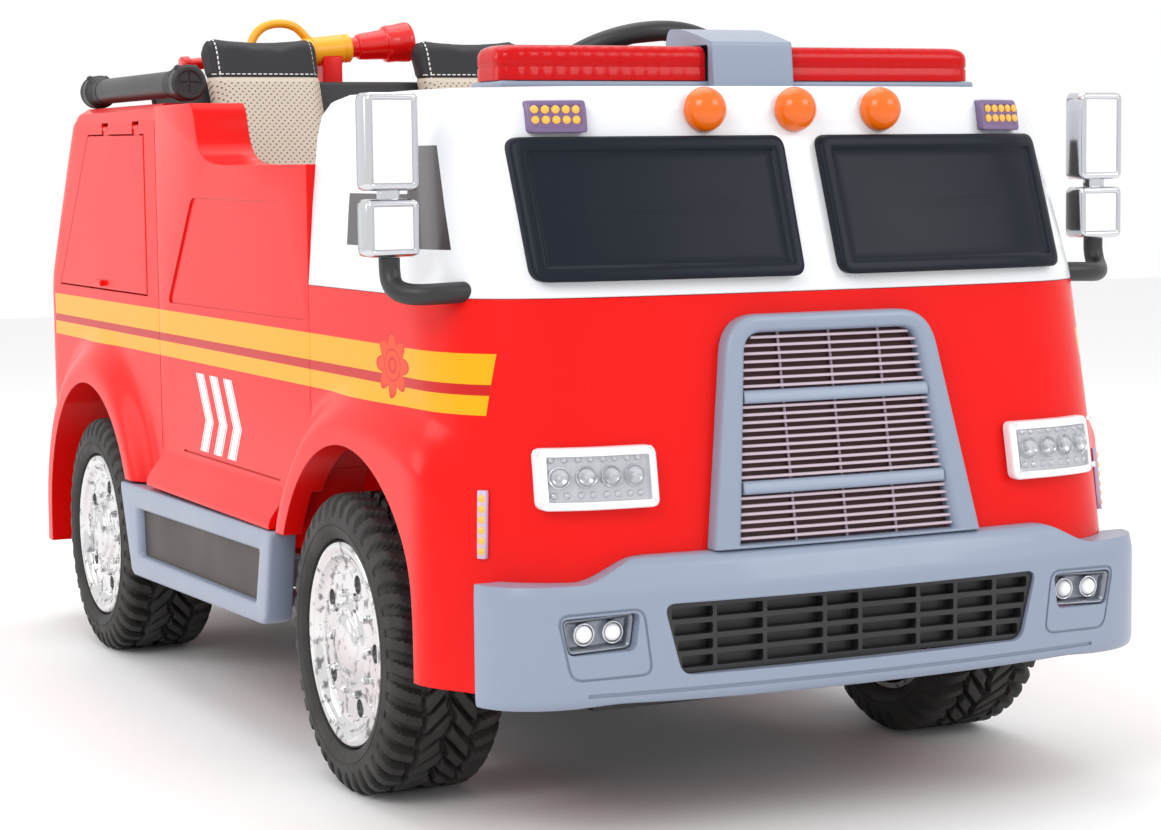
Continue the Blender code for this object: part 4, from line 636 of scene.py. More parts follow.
def make_materials():
    return {
        "red": red_body(),
        "white": white_cab(),
        "plain_red": plastic("plain red", RED, 0.22, 0.3, (700, 0.03), 0.001),
        "grey": plastic("blue grey", (0.245, 0.29, 0.385), 0.36, 0.15, (900, 0.05), 0.0018),
        "black": plastic("black plastic", (0.016, 0.016, 0.018), 0.42, 0.0, (600, 0.1), 0.0012),
        "screen": plastic("black gloss", (0.011, 0.014, 0.021), 0.3, 0.0, (600, 0.01), 0.0008, 0.1),
        "yellow": plastic("yellow plastic", (0.94, 0.42, 0.008), 0.34, 0.1, (700, 0.05), 0.001),
        "dark_leather": plastic("black leatherette", (0.018, 0.018, 0.022), 0.5, 0.0, (260, 0.25),
                                0.002),
        "leather": seat_leather(),
        "rubber": rubber(),
        "chrome": chrome(),
        "steel": steel(),
        "tread": tread_plate(),
        "mirror": plastic("mirror face", (0.9, 0.9, 0.92), 0.1, 0.5, (400, 0.01), 0.001),
        "lamp_white": plastic("lamp shell", (0.82, 0.83, 0.86), 0.22, 0.4, (500, 0.02), 0.001),
        "lamp_glass": clear("lamp glass", (0.95, 0.96, 0.98)).material,
        "silver": plastic("silvered", (0.62, 0.63, 0.66), 0.16, 0.0, (200, 0.05), 0.0006, 0.5, 1.0),
        "bulb": plastic("bulb", (0.92, 0.92, 0.94), 0.25, 0.3, (300, 0.01), 0.0004),
        # Dark red for the painted shade behind the radiator slats.
        "painted_shade_sheet": plastic("radiator shade", (0.055, 0.01, 0.012), 0.5, 0.0, (600, 0.06), 0.0008),
        "tray": plastic("lamp tray", (0.24, 0.26, 0.3), 0.28, 0.1, (300, 0.04), 0.0006, 0.5, 0.6),
        "slat": plastic("slats", (0.46, 0.36, 0.42), 0.34, 0.1, (900, 0.04), 0.0004),
        "bezel": plastic("bezel", (0.16, 0.1, 0.22), 0.3, 0.2, (600, 0.02), 0.0006),
        "pale_bezel": plastic("pale bezel", (0.52, 0.42, 0.58), 0.3, 0.2, (600, 0.02), 0.0006),
        "led": plastic("amber light", (0.96, 0.46, 0.06), 0.22, 0.2, (300, 0.02), 0.0004),
        "amber": plastic("amber dome", (0.8, 0.135, 0.001), 0.2, 0.05, (500, 0.01), 0.0006),
        "red_core": plastic("lamp core", (0.42, 0.006, 0.01), 0.3, 0.2, (300, 0.05), 0.0008),
        "red_glass": ribbed_lens("red lens", (0.58, 0.001, 0.003), "X", 0.012, 0.1, 0.1),
    }


MATERIALS = make_materials()

# ---- the body's outer surface, as in the CAD but smoother ----------------------------
UPPER_NOSE = [(BELT_Z, -0.6245), (0.449, -0.622), (0.566, -0.581), (0.585, -0.578),
              (0.597, -0.573), (CAB_TOP_Z, -0.562)]
UPPER_WIDTH = [(BELT_Z, HALF_W), (0.505, 0.303), (0.566, 0.297), (0.585, 0.294),
               (0.597, 0.288), (CAB_TOP_Z, 0.277)]
UPPER_TAIL = [(0.566, CAB_SEAM_Y), (0.585, -0.258), (0.597, -0.268), (CAB_TOP_Z, -0.285)]
REAR_FACE = [(0.4, 0.688), (0.42, 0.682), (0.55, 0.6), (0.59, 0.572), (0.602, 0.56),
             (DECK_Z, 0.548)]
REAR_WIDTH = [(0.59, HALF_W), (0.602, HALF_W - 0.004), (DECK_Z, HALF_W - 0.012)]


def nose_y(z):
    if z >= BELT_Z:
        return between(z, UPPER_NOSE)
    return -0.622 - 0.18 * (0.449 - z)


def nose_bow(z):
    return between(z, [(0.3, 0.2), (0.45, 0.28), (CAB_TOP_Z, 0.3)])


def corner_curve(z):
    """Start on the side, corner point and end on the front of the corner's quadratic curve."""
    width, bow = between(z, UPPER_WIDTH), nose_bow(z)
    end = Vector((width - CORNER_R, nose_y(z) + bow * (width - CORNER_R) ** 2))
    corner = Vector((width, end.y + 2 * bow * end.x * CORNER_R))
    return Vector((width, corner.y + CORNER_R)), corner, end


def front_surface(x, z):
    """y of the cab's front at a place across it."""
    start, corner, end = corner_curve(z)
    x = abs(x)
    if x <= end.x:
        return nose_y(z) + nose_bow(z) * x * x
    t = math.sqrt(max(start.x - x, 0.0) / (start.x - end.x))
    return start.y * (1 - t) ** 2 + corner.y * 2 * t * (1 - t) + end.y * t * t


def on_front(u, v, height):
    return (u, front_surface(u, v) - height, v)


def front_place(x, z, height=0.0):
    """A placement on the front with its Z axis pointing out of the surface."""
    here = Vector((x, front_surface(x, z), z))
    across = Vector((x + 0.002, front_surface(x + 0.002, z), z)) - here
    up = Vector((x, front_surface(x, z + 0.002), z + 0.002)) - here
    out = across.cross(up).normalized()
    right = (across - out * across.dot(out)).normalized()
    turn = Matrix((right, out.cross(right), out)).transposed().to_4x4()
    return Matrix.Translation(here + out * height) @ turn


def front_flare(y, z):
    """Height of the front fender over the side; it runs out wide towards the nose."""
    along = y - FRONT_ARCH_Y
    if along < 0:
        along *= 0.6
    reach = math.hypot(along, max(z - ARCH_Z, 0.0))
    return FLARE * blend((0.23 - reach) / 0.038) * blend((y + 0.602) / 0.06)


def rear_flare(y, z):
    return FLARE * blend((0.228 - math.hypot(y - REAR_ARCH_Y, max(z - ARCH_Z, 0.0))) / 0.042)


def corner_place(z, t):
    """A place on the flared corner at one height, and the way out of it."""
    start, corner, end = corner_curve(z)
    point = quadratic(start, corner, end, t)
    slope = (corner - start) * (1 - t) + (end - corner) * t
    normal = Vector((-slope.y, slope.x)).normalized()
    return point + normal * front_flare(point.y, z) * blend((abs(normal.x) - 0.45) / 0.5), normal


def nose_ring(z, shrink=0.0, tail=None, flared=False, sides=64, corners=26, fronts=16):
    """The cab's plan outline at one height, from one rear corner round the nose to the other."""
    start, corner, end = corner_curve(z)
    tail = between(z, UPPER_TAIL) if tail is None else tail
    half = []
    for i in range(sides):
        half.append((Vector((start.x, tail + (start.y - tail) * i / sides)), Vector((1, 0))))
    for i in range(corners):
        t = i / corners
        point = quadratic(start, corner, end, t)
        slope = (corner - start) * (1 - t) + (end - corner) * t
        half.append((point, Vector((-slope.y, slope.x)).normalized()))
    for i in range(fronts + 1):
        x = end.x * (1 - i / fronts)
        normal = Vector((2 * nose_bow(z) * x, -1)).normalized()
        half.append((Vector((x, nose_y(z) + nose_bow(z) * x * x)), normal))
    points = []
    for point, normal in half:
        out = -shrink
        if flared:
            out += front_flare(point.y, z) * blend((abs(normal.x) - 0.45) / 0.5)
        place = point + normal * out
        points.append((place.x, place.y, z))
    return points + [(-x, y, z) for x, y, z in reversed(points[:-1])]


def tail_ring(z, shrink=0.0, front=REAR_SEAM_Y + 0.0004, flared=False, sides=72, corners=10):
    """The rear body's plan outline at one height."""
    width = between(z, REAR_WIDTH) - shrink
    back = between(z, REAR_FACE) - shrink
    corner = Vector((width, back))
    start, end = Vector((width, back - TAIL_R)), Vector((width - TAIL_R, back))
    half = []
    for i in range(sides):
        half.append((Vector((width, front + (start.y - front) * i / sides)), Vector((1, 0))))
    for i in range(corners + 1):
        t = i / corners
        point = quadratic(start, corner, end, t)
        slope = (corner - start) * (1 - t) + (end - corner) * t
        half.append((point, Vector((slope.y, -slope.x)).normalized()))
    points = []
    for point, normal in half:
        out = rear_flare(point.y, z) * math.sqrt(abs(normal.x)) if flared else 0.0
        points.append((point.x + normal.x * out, point.y + normal.y * out, z))
    return points + [(-x, y, z) for x, y, z in reversed(points)]


# ---- body shells --------------------------------------------------------------------
DOOR_EDGE = [(-0.02, DOOR_SILL_Z), (0.017, 0.5445), (0.043, 0.549), (0.06, 0.558),
             (0.07, 0.573), (0.077, 0.596), (0.086, DECK_Z - 0.003)]
HATCH = [(0.2535, 0.4065), (0.2535, 0.5755), (0.474, 0.5775), (0.612, 0.4065)]


def sharp_loop(corners, radius, steps=6):
    return loop_of(corners, radius, steps, 1)


def rod(name, start, end, radius, sides=32):
    return tube(name, [start, end], radius, sides, smooth=False)


def build_cab_lower():
    levels = spread(0.128, BELT_Z, 56)
    shell = rings("cab_lower_skin", [nose_ring(z, tail=-0.183, flared=True) for z in levels])
    hollow = rings("hollow", [nose_ring(z, WALL, 0.0, False, 4, 12, 8) for z in (0.06, 0.3, 0.47)])
    cut(hollow, *both("liner", arch(FRONT_WELL_Y, FRONT_WELL_R + 0.005), WELL_X - 0.005, 0.4))
    cut(shell, hollow)
    cut(shell, *both("well", arch(FRONT_WELL_Y, FRONT_WELL_R), WELL_X, 0.299))
    # The front of the opening runs down steeply.
    opening = [(FRONT_FOOT_Y + 0.008 * math.log1p(math.exp((y - FRONT_FOOT_Y) / 0.008)), z)
               for y, z in arch(FRONT_ARCH_Y, FRONT_ARCH_R)]
    cut(shell, *both("arch", opening, 0.29, 0.4))
    cut(shell, box("axle_gap", (-0.21, -0.6, 0.0), (0.21, -0.1, 0.192)))
    cut(shell, box("bumper_gap", (-0.264, -0.72, 0.05), (0.264, -0.654, 0.2035)))
    rim = 0.21
    seam_angle = math.degrees(math.acos((CAB_SEAM_Y - FRONT_ARCH_Y) / rim))
    foot_angle = math.degrees(math.asin((SIDE_FOOT_Z - ARCH_Z) / rim))
    behind = arc((FRONT_ARCH_Y, ARCH_Z), rim, foot_angle, seam_angle, 30)
    behind += [(CAB_SEAM_Y, 0.5), (-0.1, 0.5), (-0.1, 0.05), (CAB_SEAM_Y, 0.05),
               (CAB_SEAM_Y, SIDE_FOOT_Z)]
    cut(shell, prism("behind", behind, "X", -0.4, 0.4))
    cut(shell, box("seam", (-HALF_W - 0.0004, CAB_SEAM_Y, 0.05), (HALF_W + 0.0004, -0.1, 0.5)))
    show(shell, "body", "red", ["cab_lower"], 32)


def build_cab_upper():
    levels = spread(BELT_Z + 0.0004, 0.58, 22)[:-1] + spread(0.58, CAB_TOP_Z, 14)
    shell = rings("cab_upper_skin", [nose_ring(z, sides=8) for z in levels])
    hollow_rings = [nose_ring(z, WALL, CAB_SEAM_Y - 0.0085, False, 4, 12, 8)
                    for z in (0.4, 0.449, 0.566)]
    hollow_rings += [nose_ring(0.588, WALL, -0.268, False, 4, 12, 8)]
    hollow_rings += [nose_ring(CAB_TOP_Z - WALL, WALL + 0.003, -0.276, False, 4, 12, 8)]
    cut(shell, rings("hollow", hollow_rings))
    cut(shell, box("dash_gap", (-0.284, -0.275, 0.4), (0.284, -0.24, 0.576)))
    show(shell, "body", "white", ["cab_upper"], 32)


def build_middle():
    front, back = CAB_SEAM_Y + 0.0004, REAR_SEAM_Y
    top = DECK_Z - 0.003
    edge = DOOR_EDGE
    for _ in range(2):
        finer = [edge[0]]
        for a, b in zip(edge, edge[1:]):
            finer += [(a[0] * 0.75 + b[0] * 0.25, a[1] * 0.75 + b[1] * 0.25),
                      (a[0] * 0.25 + b[0] * 0.75, a[1] * 0.25 + b[1] * 0.75)]
        edge = finer + [edge[-1]]
    outline = [(front, SIDE_FOOT_Z), (front, DOOR_SILL_Z)] + edge
    outline += [(back, top), (back, SIDE_FOOT_Z)]
    relief = sharp_loop([(0.09, 0.511), (-0.184, 0.509), (-0.242, 0.404), (0.179, 0.402)], 0.01)
    tub = box("tub", (-CABIN_X - 0.01, -0.184, FLOOR_Z), (CABIN_X + 0.01, back, FLOOR_Z + WALL))
    pieces = [
        box("toe", (-0.166, -0.5, FLOOR_Z), (0.166, -0.18, FLOOR_Z + WALL)),
        box("riser", (-CABIN_X - 0.01, 0.02, FLOOR_Z + 0.002), (CABIN_X + 0.01, 0.026, BENCH_Z)),
        box("bench", (-CABIN_X - 0.01, 0.02, BENCH_Z - WALL), (CABIN_X + 0.01, back, BENCH_Z)),
    ]
    cut(tub, *pieces, operation="UNION")
    for _, side in SIDES:
        low, high = sorted((side * CABIN_X, side * HALF_W))
        wall = bevelled(prism("wall", outline, "X", low, high), 0.006, 5)
        cut(wall)
        sill = [(0.303, 0.247)]
        for k in range(13):
            t = k / 12
            sill.append((HALF_W + 0.0185 * blend(t), 0.247 - 0.0355 * t))
        sill += [(0.3265, SIDE_FOOT_Z), (0.303, SIDE_FOOT_Z)]
        cut(wall, prism("sill", sided(sill, side), "Y", -0.1825, back), operation="UNION")
        low, high = sorted((side * (HALF_W - 0.0018), side * 0.33))
        cut(wall, prism("relief", relief, "X", low, high))
        # A pressed line runs along the foot of the door.
        line = rings("line", [[(side * (HALF_W + 0.0026 * k), y, 0.252 + dz)
                               for y, dz in ((-0.165, -0.0009), (0.135, -0.0009), (0.135, 0.0009),
                                             (-0.165, 0.0009))]
                              for k in (-0.6, 6.0)])
        cut(wall, line)
        cut(tub, wall, operation="UNION")
    cut(tub, *both("well", arch(FRONT_WELL_Y, FRONT_WELL_R + 0.001), 0.17, 0.4))
    cut(tub, rod("column_hole", column_point(0.5), column_point(0.58), 0.0125))
    show(tub, "body", "red", ["middle_body"], 32)


def column_point(distance):
    return COLUMN_HEAD + Vector((0.0, -0.6, -0.8)) * distance


GUN_START = Vector((-0.205, 0.45, 0.656))
GUN_AXIS = Vector((1.0, 0.0, 0.105)).normalized()


def gun_point(distance, lift=0.0):
    return GUN_START + GUN_AXIS * distance + Vector((-GUN_AXIS.z, 0.0, GUN_AXIS.x)) * lift


def build_rear():
    levels = spread(0.1, 0.58, 60)[:-1] + spread(0.58, DECK_Z, 14)
    shell = rings("rear_body_skin", [tail_ring(z, flared=True) for z in levels])
    cut(shell, box("step_gap", (-0.4, 0.19, 0.05), (0.4, 0.3135, 0.2068)))
    hollow = rings("hollow", [tail_ring(z, WALL, 0.1, False, 2, 6)
                              for z in (0.03, 0.4, 0.42, 0.55, 0.588, DECK_Z - WALL)])
    cut(hollow, *both("liner", arch(REAR_ARCH_Y, REAR_ARCH_R + 0.005), WELL_X - 0.005, 0.4))
    cut(hollow, box("seat_walls", (-CABIN_X - WALL, 0.0, BENCH_Z - WALL),
                    (CABIN_X + WALL, 0.431, 0.7)))
    cut(shell, hollow)
    cut(shell, *both("arch", arch(REAR_ARCH_Y, REAR_ARCH_R), WELL_X, 0.4))
    cut(shell, box("seats", (-CABIN_X, 0.0, BENCH_Z), (CABIN_X, 0.425, 0.7)))
    cut(shell, box("axle_gap", (-0.19, 0.23, 0.0), (0.19, 0.66, 0.192)))
    cut(shell, box("tunnel", (-0.16, 0.2, 0.0), (0.16, 0.24, BENCH_Z - WALL - 0.001)))
    for _, side in SIDES:
        low, high = sorted((side * 0.29, side * 0.34))
        cut(shell, prism("hatch_gap", inset(HATCH, -0.0012), "X", low, high))
        for y in (0.283, 0.403):
            low, high = sorted((side * (HALF_W - 0.009), side * 0.34))
            cut(shell, box("hinge_gap", (low, y - 0.0125, 0.575), (high, y + 0.0125, 0.5905)))
    # The first two saddles under the water gun.
    for low, high, half, top in ((0.08, 0.096, 0.01, 0.664), (0.166, 0.19, 0.016, 0.668)):
        saddle = box("saddle", (GUN_START.x + low, 0.45 - half, DECK_Z - 0.003),
                     (GUN_START.x + high, 0.45 + half, top), 0.002)
        cut(shell, saddle, operation="UNION")
    cut(shell, rod("tail_bore", gun_point(-0.02), gun_point(0.13), 0.0076))
    cut(shell, rod("grip_bore", gun_point(0.145), gun_point(0.21), 0.017))
    show(shell, "body", "red", ["rear_body"], 32)


# ---- the front ----------------------------------------------------------------------
def screw(place, radius=0.0022, height=0.0012, name="screw"):
    """A small domed cross-head screw."""
    head = turned(name, [(0.0, height), (radius * 0.6, height * 0.9), (radius, height * 0.3),
                         (radius, -0.002),
                         (0.0, -0.002)], 20, None, 0.0003)
    slots = [box("slot", (-radius * 0.65, -radius * 0.13, height * 0.35),
                 (radius * 0.65, radius * 0.13, 0.01)),
             box("slot", (-radius * 0.13, -radius * 0.65, height * 0.35),
                 (radius * 0.13, radius * 0.65, 0.01))]
    cut(head, *slots)
    head.data.transform(place)
    return head


def build_windscreens():
    levels = [(0.0, 0.001), (0.0, 0.0085), (0.0006, 0.0098), (0.0018, 0.0106), (0.0035, 0.011),
              (0.0085, 0.011), (0.0102, 0.0105), (0.0112, 0.0095), (0.0122, 0.008),
              (0.0135, 0.0074),
              (0.0205, 0.0073), (0.025, 0.0073), (0.03, 0.0073),
              (0.038, 0.0073), (0.046, 0.0073), (0.052, 0.0073)]
    for name, side in SIDES:
        outer = [(0.0175, 0.449), (0.248, 0.449), (0.25, 0.5625), (0.0165, 0.5625)]
        pane = plate("windscreen_" + name + "_pane", sided(outer, side), 0.011, levels, on_front, 8,
                     20)
        show(pane, "body", "screen", ["windscreen_" + name], 50)


def half_window(z):
    return between(z, [(0.2324, 0.0995), (0.4045, 0.0805)])


def corners_of(outline, radii, steps=10, along=10):
    """A polygon rounded by its own radius at each corner, always with the same number of points."""
    points = [Vector(c) for c in outline]
    out = []
    for i, here in enumerate(points):
        before, after = points[i - 1], points[(i + 1) % len(points)]
        first = here + (before - here).normalized() * radii[i]
        last = here + (after - here).normalized() * radii[i]
        for k in range(steps + 1):
            t = k / steps
            out.append(quadratic(first, here, last, t))
        stop = after + (here - after).normalized() * radii[(i + 1) % len(points)]
        for k in range(1, along):
            out.append(last + (stop - last) * (k / along))
    return out


def build_radiator():
    foot = 0.237
    outer = [(0.1245, foot), (0.0945, 0.4195), (-0.0945, 0.4195), (-0.1245, foot)]
    inner = [(0.0985, foot + 0.003), (0.079, 0.4045), (-0.079, 0.4045), (-0.0985, foot + 0.003)]
    loops = []
    for mix, height in ((0.0, 0.0005), (0.0, 0.01), (0.03, 0.0125), (0.1, 0.0145), (0.22, 0.0152),
                        (0.72, 0.0152), (0.82, 0.0142), (0.9, 0.012), (0.97, 0.0085),
                        (1.0, 0.0005)):
        outside = corners_of(outer, [0.001, 0.03, 0.03, 0.001])
        inside = corners_of(inner, [0.001, 0.015, 0.015, 0.001])
        loops.append([on_front(*(a.lerp(b, mix)), height) for a, b in zip(outside, inside)])
    frame_piece = rings("radiator_frame", loops, (False, False), True, True)
    show(frame_piece, "body", "grey", ["radiator_grille"], 60)

    def bar(name, z, depth, low, high, reach, sides=24):
        """A bar across the front, with rounded edges."""
        xs = spread(-reach, reach, sides)
        lip = depth * 0.28
        shape = [(low, z - depth), (high - lip, z - depth), (high, z - depth + lip),
                 (high, z + depth - lip), (high - lip, z + depth), (low, z + depth)]
        return rings(name, [[on_front(x, v, h) for h, v in shape] for x in xs])

    broad = [bar("bar", z, 0.005, 0.001, 0.0128, half_window(z)) for z in (0.2835, 0.3545)]
    show(joined("radiator_bars", broad), "body", "grey", ["radiator_grille"], 45)
    slats = []
    for low, high, count in ((0.241, 0.2785, 6), (0.2885, 0.3495, 10), (0.3595, 0.4045, 7)):
        pitch = (high - low) / count
        for i in range(count):
            z = low + pitch * (i + 0.5)
            reach = half_window(z) - 0.013 * blend((z - 0.392) / 0.016)
            slats.append(bar("slat", z, 0.0011, 0.006, 0.0095, reach + 0.001))
    show(joined("radiator_slats", slats), "body", "slat", ["radiator_grille"], 45)
    # Behind the slats a dark red sheet stands in for the shade in the opening: painted shade.
    painted_shade_sheet = plate("painted_shade_sheet",
                    [(0.099, foot + 0.001), (0.08, 0.406), (-0.08, 0.406), (-0.099, foot + 0.001)],
                    0.012,
                    [(0.0, 0.0004), (0.0, 0.0016), (0.004, 0.0018), (0.02, 0.0018), (0.04, 0.0018),
                     (0.06, 0.0018)],
                    on_front, 6, 16)
    painted_shade_sheet.name = "radiator_painted_shade"
    show(painted_shade_sheet, "body", "painted_shade_sheet", ["radiator_grille"], 50)
    rods = []
    for x in (-0.047, 0.0, 0.047):
        rods.append(tube("rod", [on_front(x, z, 0.0045) for z in spread(0.238, 0.406, 12)], 0.0012,
                         10, smooth=False))
    show(joined("radiator_rods", rods), "body", "slat", ["radiator_grille"], 45)


def build_headlamps():
    for name, side in SIDES:
        outline = sided([(0.166, 0.2735), (0.2605, 0.2735), (0.2595, 0.3215), (0.1655, 0.3215)],
                        side)
        levels = [(0.0, 0.0015), (0.0, 0.009), (0.0006, 0.011), (0.002, 0.0122), (0.004, 0.0125),
                  (0.0062, 0.0122), (0.007, 0.011), (0.0074, 0.0075), (0.012, 0.007),
                  (0.018, 0.007), (0.022, 0.007)]
        shell = plate("headlamp_" + name + "_shell", outline, 0.007, levels, on_front, 6, 14)
        show(shell, "body", "lamp_white", ["headlamp_" + name], 50)
        bowls, bumps, caps, screws = [], [], [], []
        for k in range(4):
            x = side * (0.1845 + 0.019 * k)
            place = front_place(x, 0.2975, 0.0072)
            bowls.append(turned("bowl",
                                [(0.0, 0.0006), (0.003, 0.0005), (0.0062, 0.002), (0.0078, 0.0042),
                                         (0.0086, 0.0044), (0.009, 0.0036), (0.009, -0.001),
                                         (0.0, -0.001)],
                                36, place, 0.0004))
            bumps.append(turned("bulb",
                                [(0.0, 0.004), (0.0014, 0.0036), (0.0021, 0.0022), (0.0022, 0.0004),
                                 (0.0, 0.0004)],
                                20, place, 0.0003))
            for dz in (-0.0135, 0.0135):
                for dx in (-0.0045, 0.0045):
                    spot = front_place(x + dx, 0.2975 + dz, 0.0072)
                    caps.append(turned("bead",
                                       [(0.0, 0.0022), (0.0016, 0.0018), (0.0027, 0.0006),
                                        (0.0029, -0.001),
                                                (0.0, -0.001)], 18, spot, 0.0004))
        for x in (0.1705, 0.2555):
            for z in (0.278, 0.317):
                screws.append(screw(front_place(side * x, z, 0.0121), 0.0024, 0.0008))
        show(joined("headlamp_" + name + "_bowls", bowls), "body", "silver",
             ["headlamp_" + name], 45)
        show(joined("headlamp_" + name + "_bulbs", bumps), "body", "bulb",
             ["headlamp_" + name])
        show(joined("headlamp_" + name + "_beads", caps), "body", "silver",
             ["headlamp_" + name])
        show(joined("headlamp_" + name + "_screws", screws), "body", "lamp_white",
             ["headlamp_" + name])
        glass_levels = [(0.0069, 0.0108), (0.0069, 0.0114), (0.0074, 0.0119), (0.0085, 0.0121),
                        (0.014, 0.0124), (0.019, 0.0126), (0.022, 0.0126)]
        back = [(distance, 0.0108) for distance in (0.022, 0.014)]
        pane = plate("headlamp_" + name + "_glass", outline, 0.007, back + glass_levels, on_front,
                     6, 14)
        show(pane, "body", "lamp_glass", ["headlamp_" + name], 50)


def build_markers():
    for name, side in SIDES:
        outline = sided([(0.187, 0.5655), (0.2325, 0.5655), (0.2325, 0.5915), (0.187, 0.5915)],
                        side)
        levels = [(0.0, 0.0005), (0.0, 0.0078), (0.0005, 0.0087), (0.0012, 0.009), (0.0036, 0.009),
                  (0.0042, 0.0086), (0.0046, 0.0077), (0.008, 0.0076), (0.012, 0.0076)]
        bezel = plate("roof_marker_" + name + "_bezel", outline, 0.003, levels, on_front, 4, 10)
        show(bezel, "body", "bezel", ["roof_marker_" + name], 50)
        lights = []
        for i in range(5):
            for z in (0.5745, 0.5827):
                place = front_place(side * (0.1942 + 0.00777 * i), z, 0.0076)
                lights.append(turned("led",
                                     [(0.0, 0.002), (0.0015, 0.0017), (0.0027, 0.0009),
                                      (0.0034, 0.0002),
                                             (0.0034, -0.001), (0.0, -0.001)], 24, place, 0.0004))
        show(joined("roof_marker_" + name + "_lights", lights), "body", "led",
             ["roof_marker_" + name])
        loops = []
        for z, t in ((0.235, 0.375), (0.2358, 0.3755), (0.2525, 0.386), (0.2705, 0.398),
                     (0.2872, 0.4095), (0.288, 0.41)):
            place, normal = corner_place(z, t)
            across = Vector((-normal.y, normal.x))
            edge = 0.0034 if z in (0.235, 0.288) else 0.0043
            ring = []
            for u, out in ((-1, 0.0004), (-1, 0.0034), (-0.86, 0.0041), (0.86, 0.0041), (1, 0.0034),
                           (1, 0.0004)):
                here = place + across * (edge * u) + normal * out
                ring.append((side * here.x, here.y, z))
            loops.append(ring)
        strip = rings("side_marker_" + name + "_strip", loops)
        show(strip, "body", "pale_bezel", ["side_marker_" + name], 50)
        lights = []
        for k in range(6):
            z = 0.239 + 0.0082 * k + 0.0015
            here, normal = corner_place(z, 0.375 + 0.035 * (z - 0.235) / 0.053)
            out = Vector((side * normal.x, normal.y, 0.0))
            turn = facing(out)
            lift = Matrix.Translation((0, 0, 0.004))
            place = Matrix.Translation((side * here.x, here.y, z)) @ turn @ lift
            lights.append(turned("led",
                                 [(0.0, 0.0016), (0.0013, 0.0014), (0.0026, 0.0008),
                                  (0.0033, 0.0002),
                                         (0.0033, -0.001), (0.0, -0.001)], 24, place, 0.0004))
        show(joined("side_marker_" + name + "_lights", lights), "body", "led",
             ["side_marker_" + name])
    domes = []
    for x in (-0.083, 0.0, 0.083):
        face = front_surface(x, LAMP_Z - 0.018) - 0.001
        profile = [(0.0, 0.0178)] + [(0.0183 * math.cos(a), 0.0178 * math.sin(a))
                                     for a in [math.radians(90 - 6 * k) for k in range(1, 15)]]
        profile += [(0.0184, 0.0008), (0.0184, -0.0006), (0.0, -0.0006)]
        turn = Matrix.Rotation(math.radians(90), 4, "X")
        domes.append(turned("dome", profile, 64, Matrix.Translation((x, face, LAMP_Z)) @ turn))
    show(joined("roof_domes", domes), "body", "amber", ["roof_dome_lamps"], 50)


def bumper_ring(z, front, corners=24, fronts=30):
    """The bumper's plan outline at one height."""
    end_x = 0.243
    end = Vector((end_x, front + 0.3 * end_x**2))
    corner = Vector((BUMPER_X, end.y + 0.6 * end_x * 0.066 - 0.004))
    start = Vector((BUMPER_X, corner.y + 0.06))
    half = [Vector((BUMPER_X, -0.57))]
    for i in range(corners):
        t = i / corners
        half.append(quadratic(start, corner, end, t))
    for i in range(fronts + 1):
        x = end_x * (1 - i / fronts)
        half.append(Vector((x, front + 0.3 * x * x)))
    points = [(p.x, p.y, z) for p in half]
    return points + [(-x, y, z) for x, y, z in reversed(points[:-1])]


FOG_OUTLINE = [(0.1975, 0.1655), (0.252, 0.164), (0.2575, 0.193), (0.1935, 0.195)]
GRILLE_MOUTH = [(0.159, 0.143), (0.174, 0.2), (-0.174, 0.2), (-0.159, 0.143)]


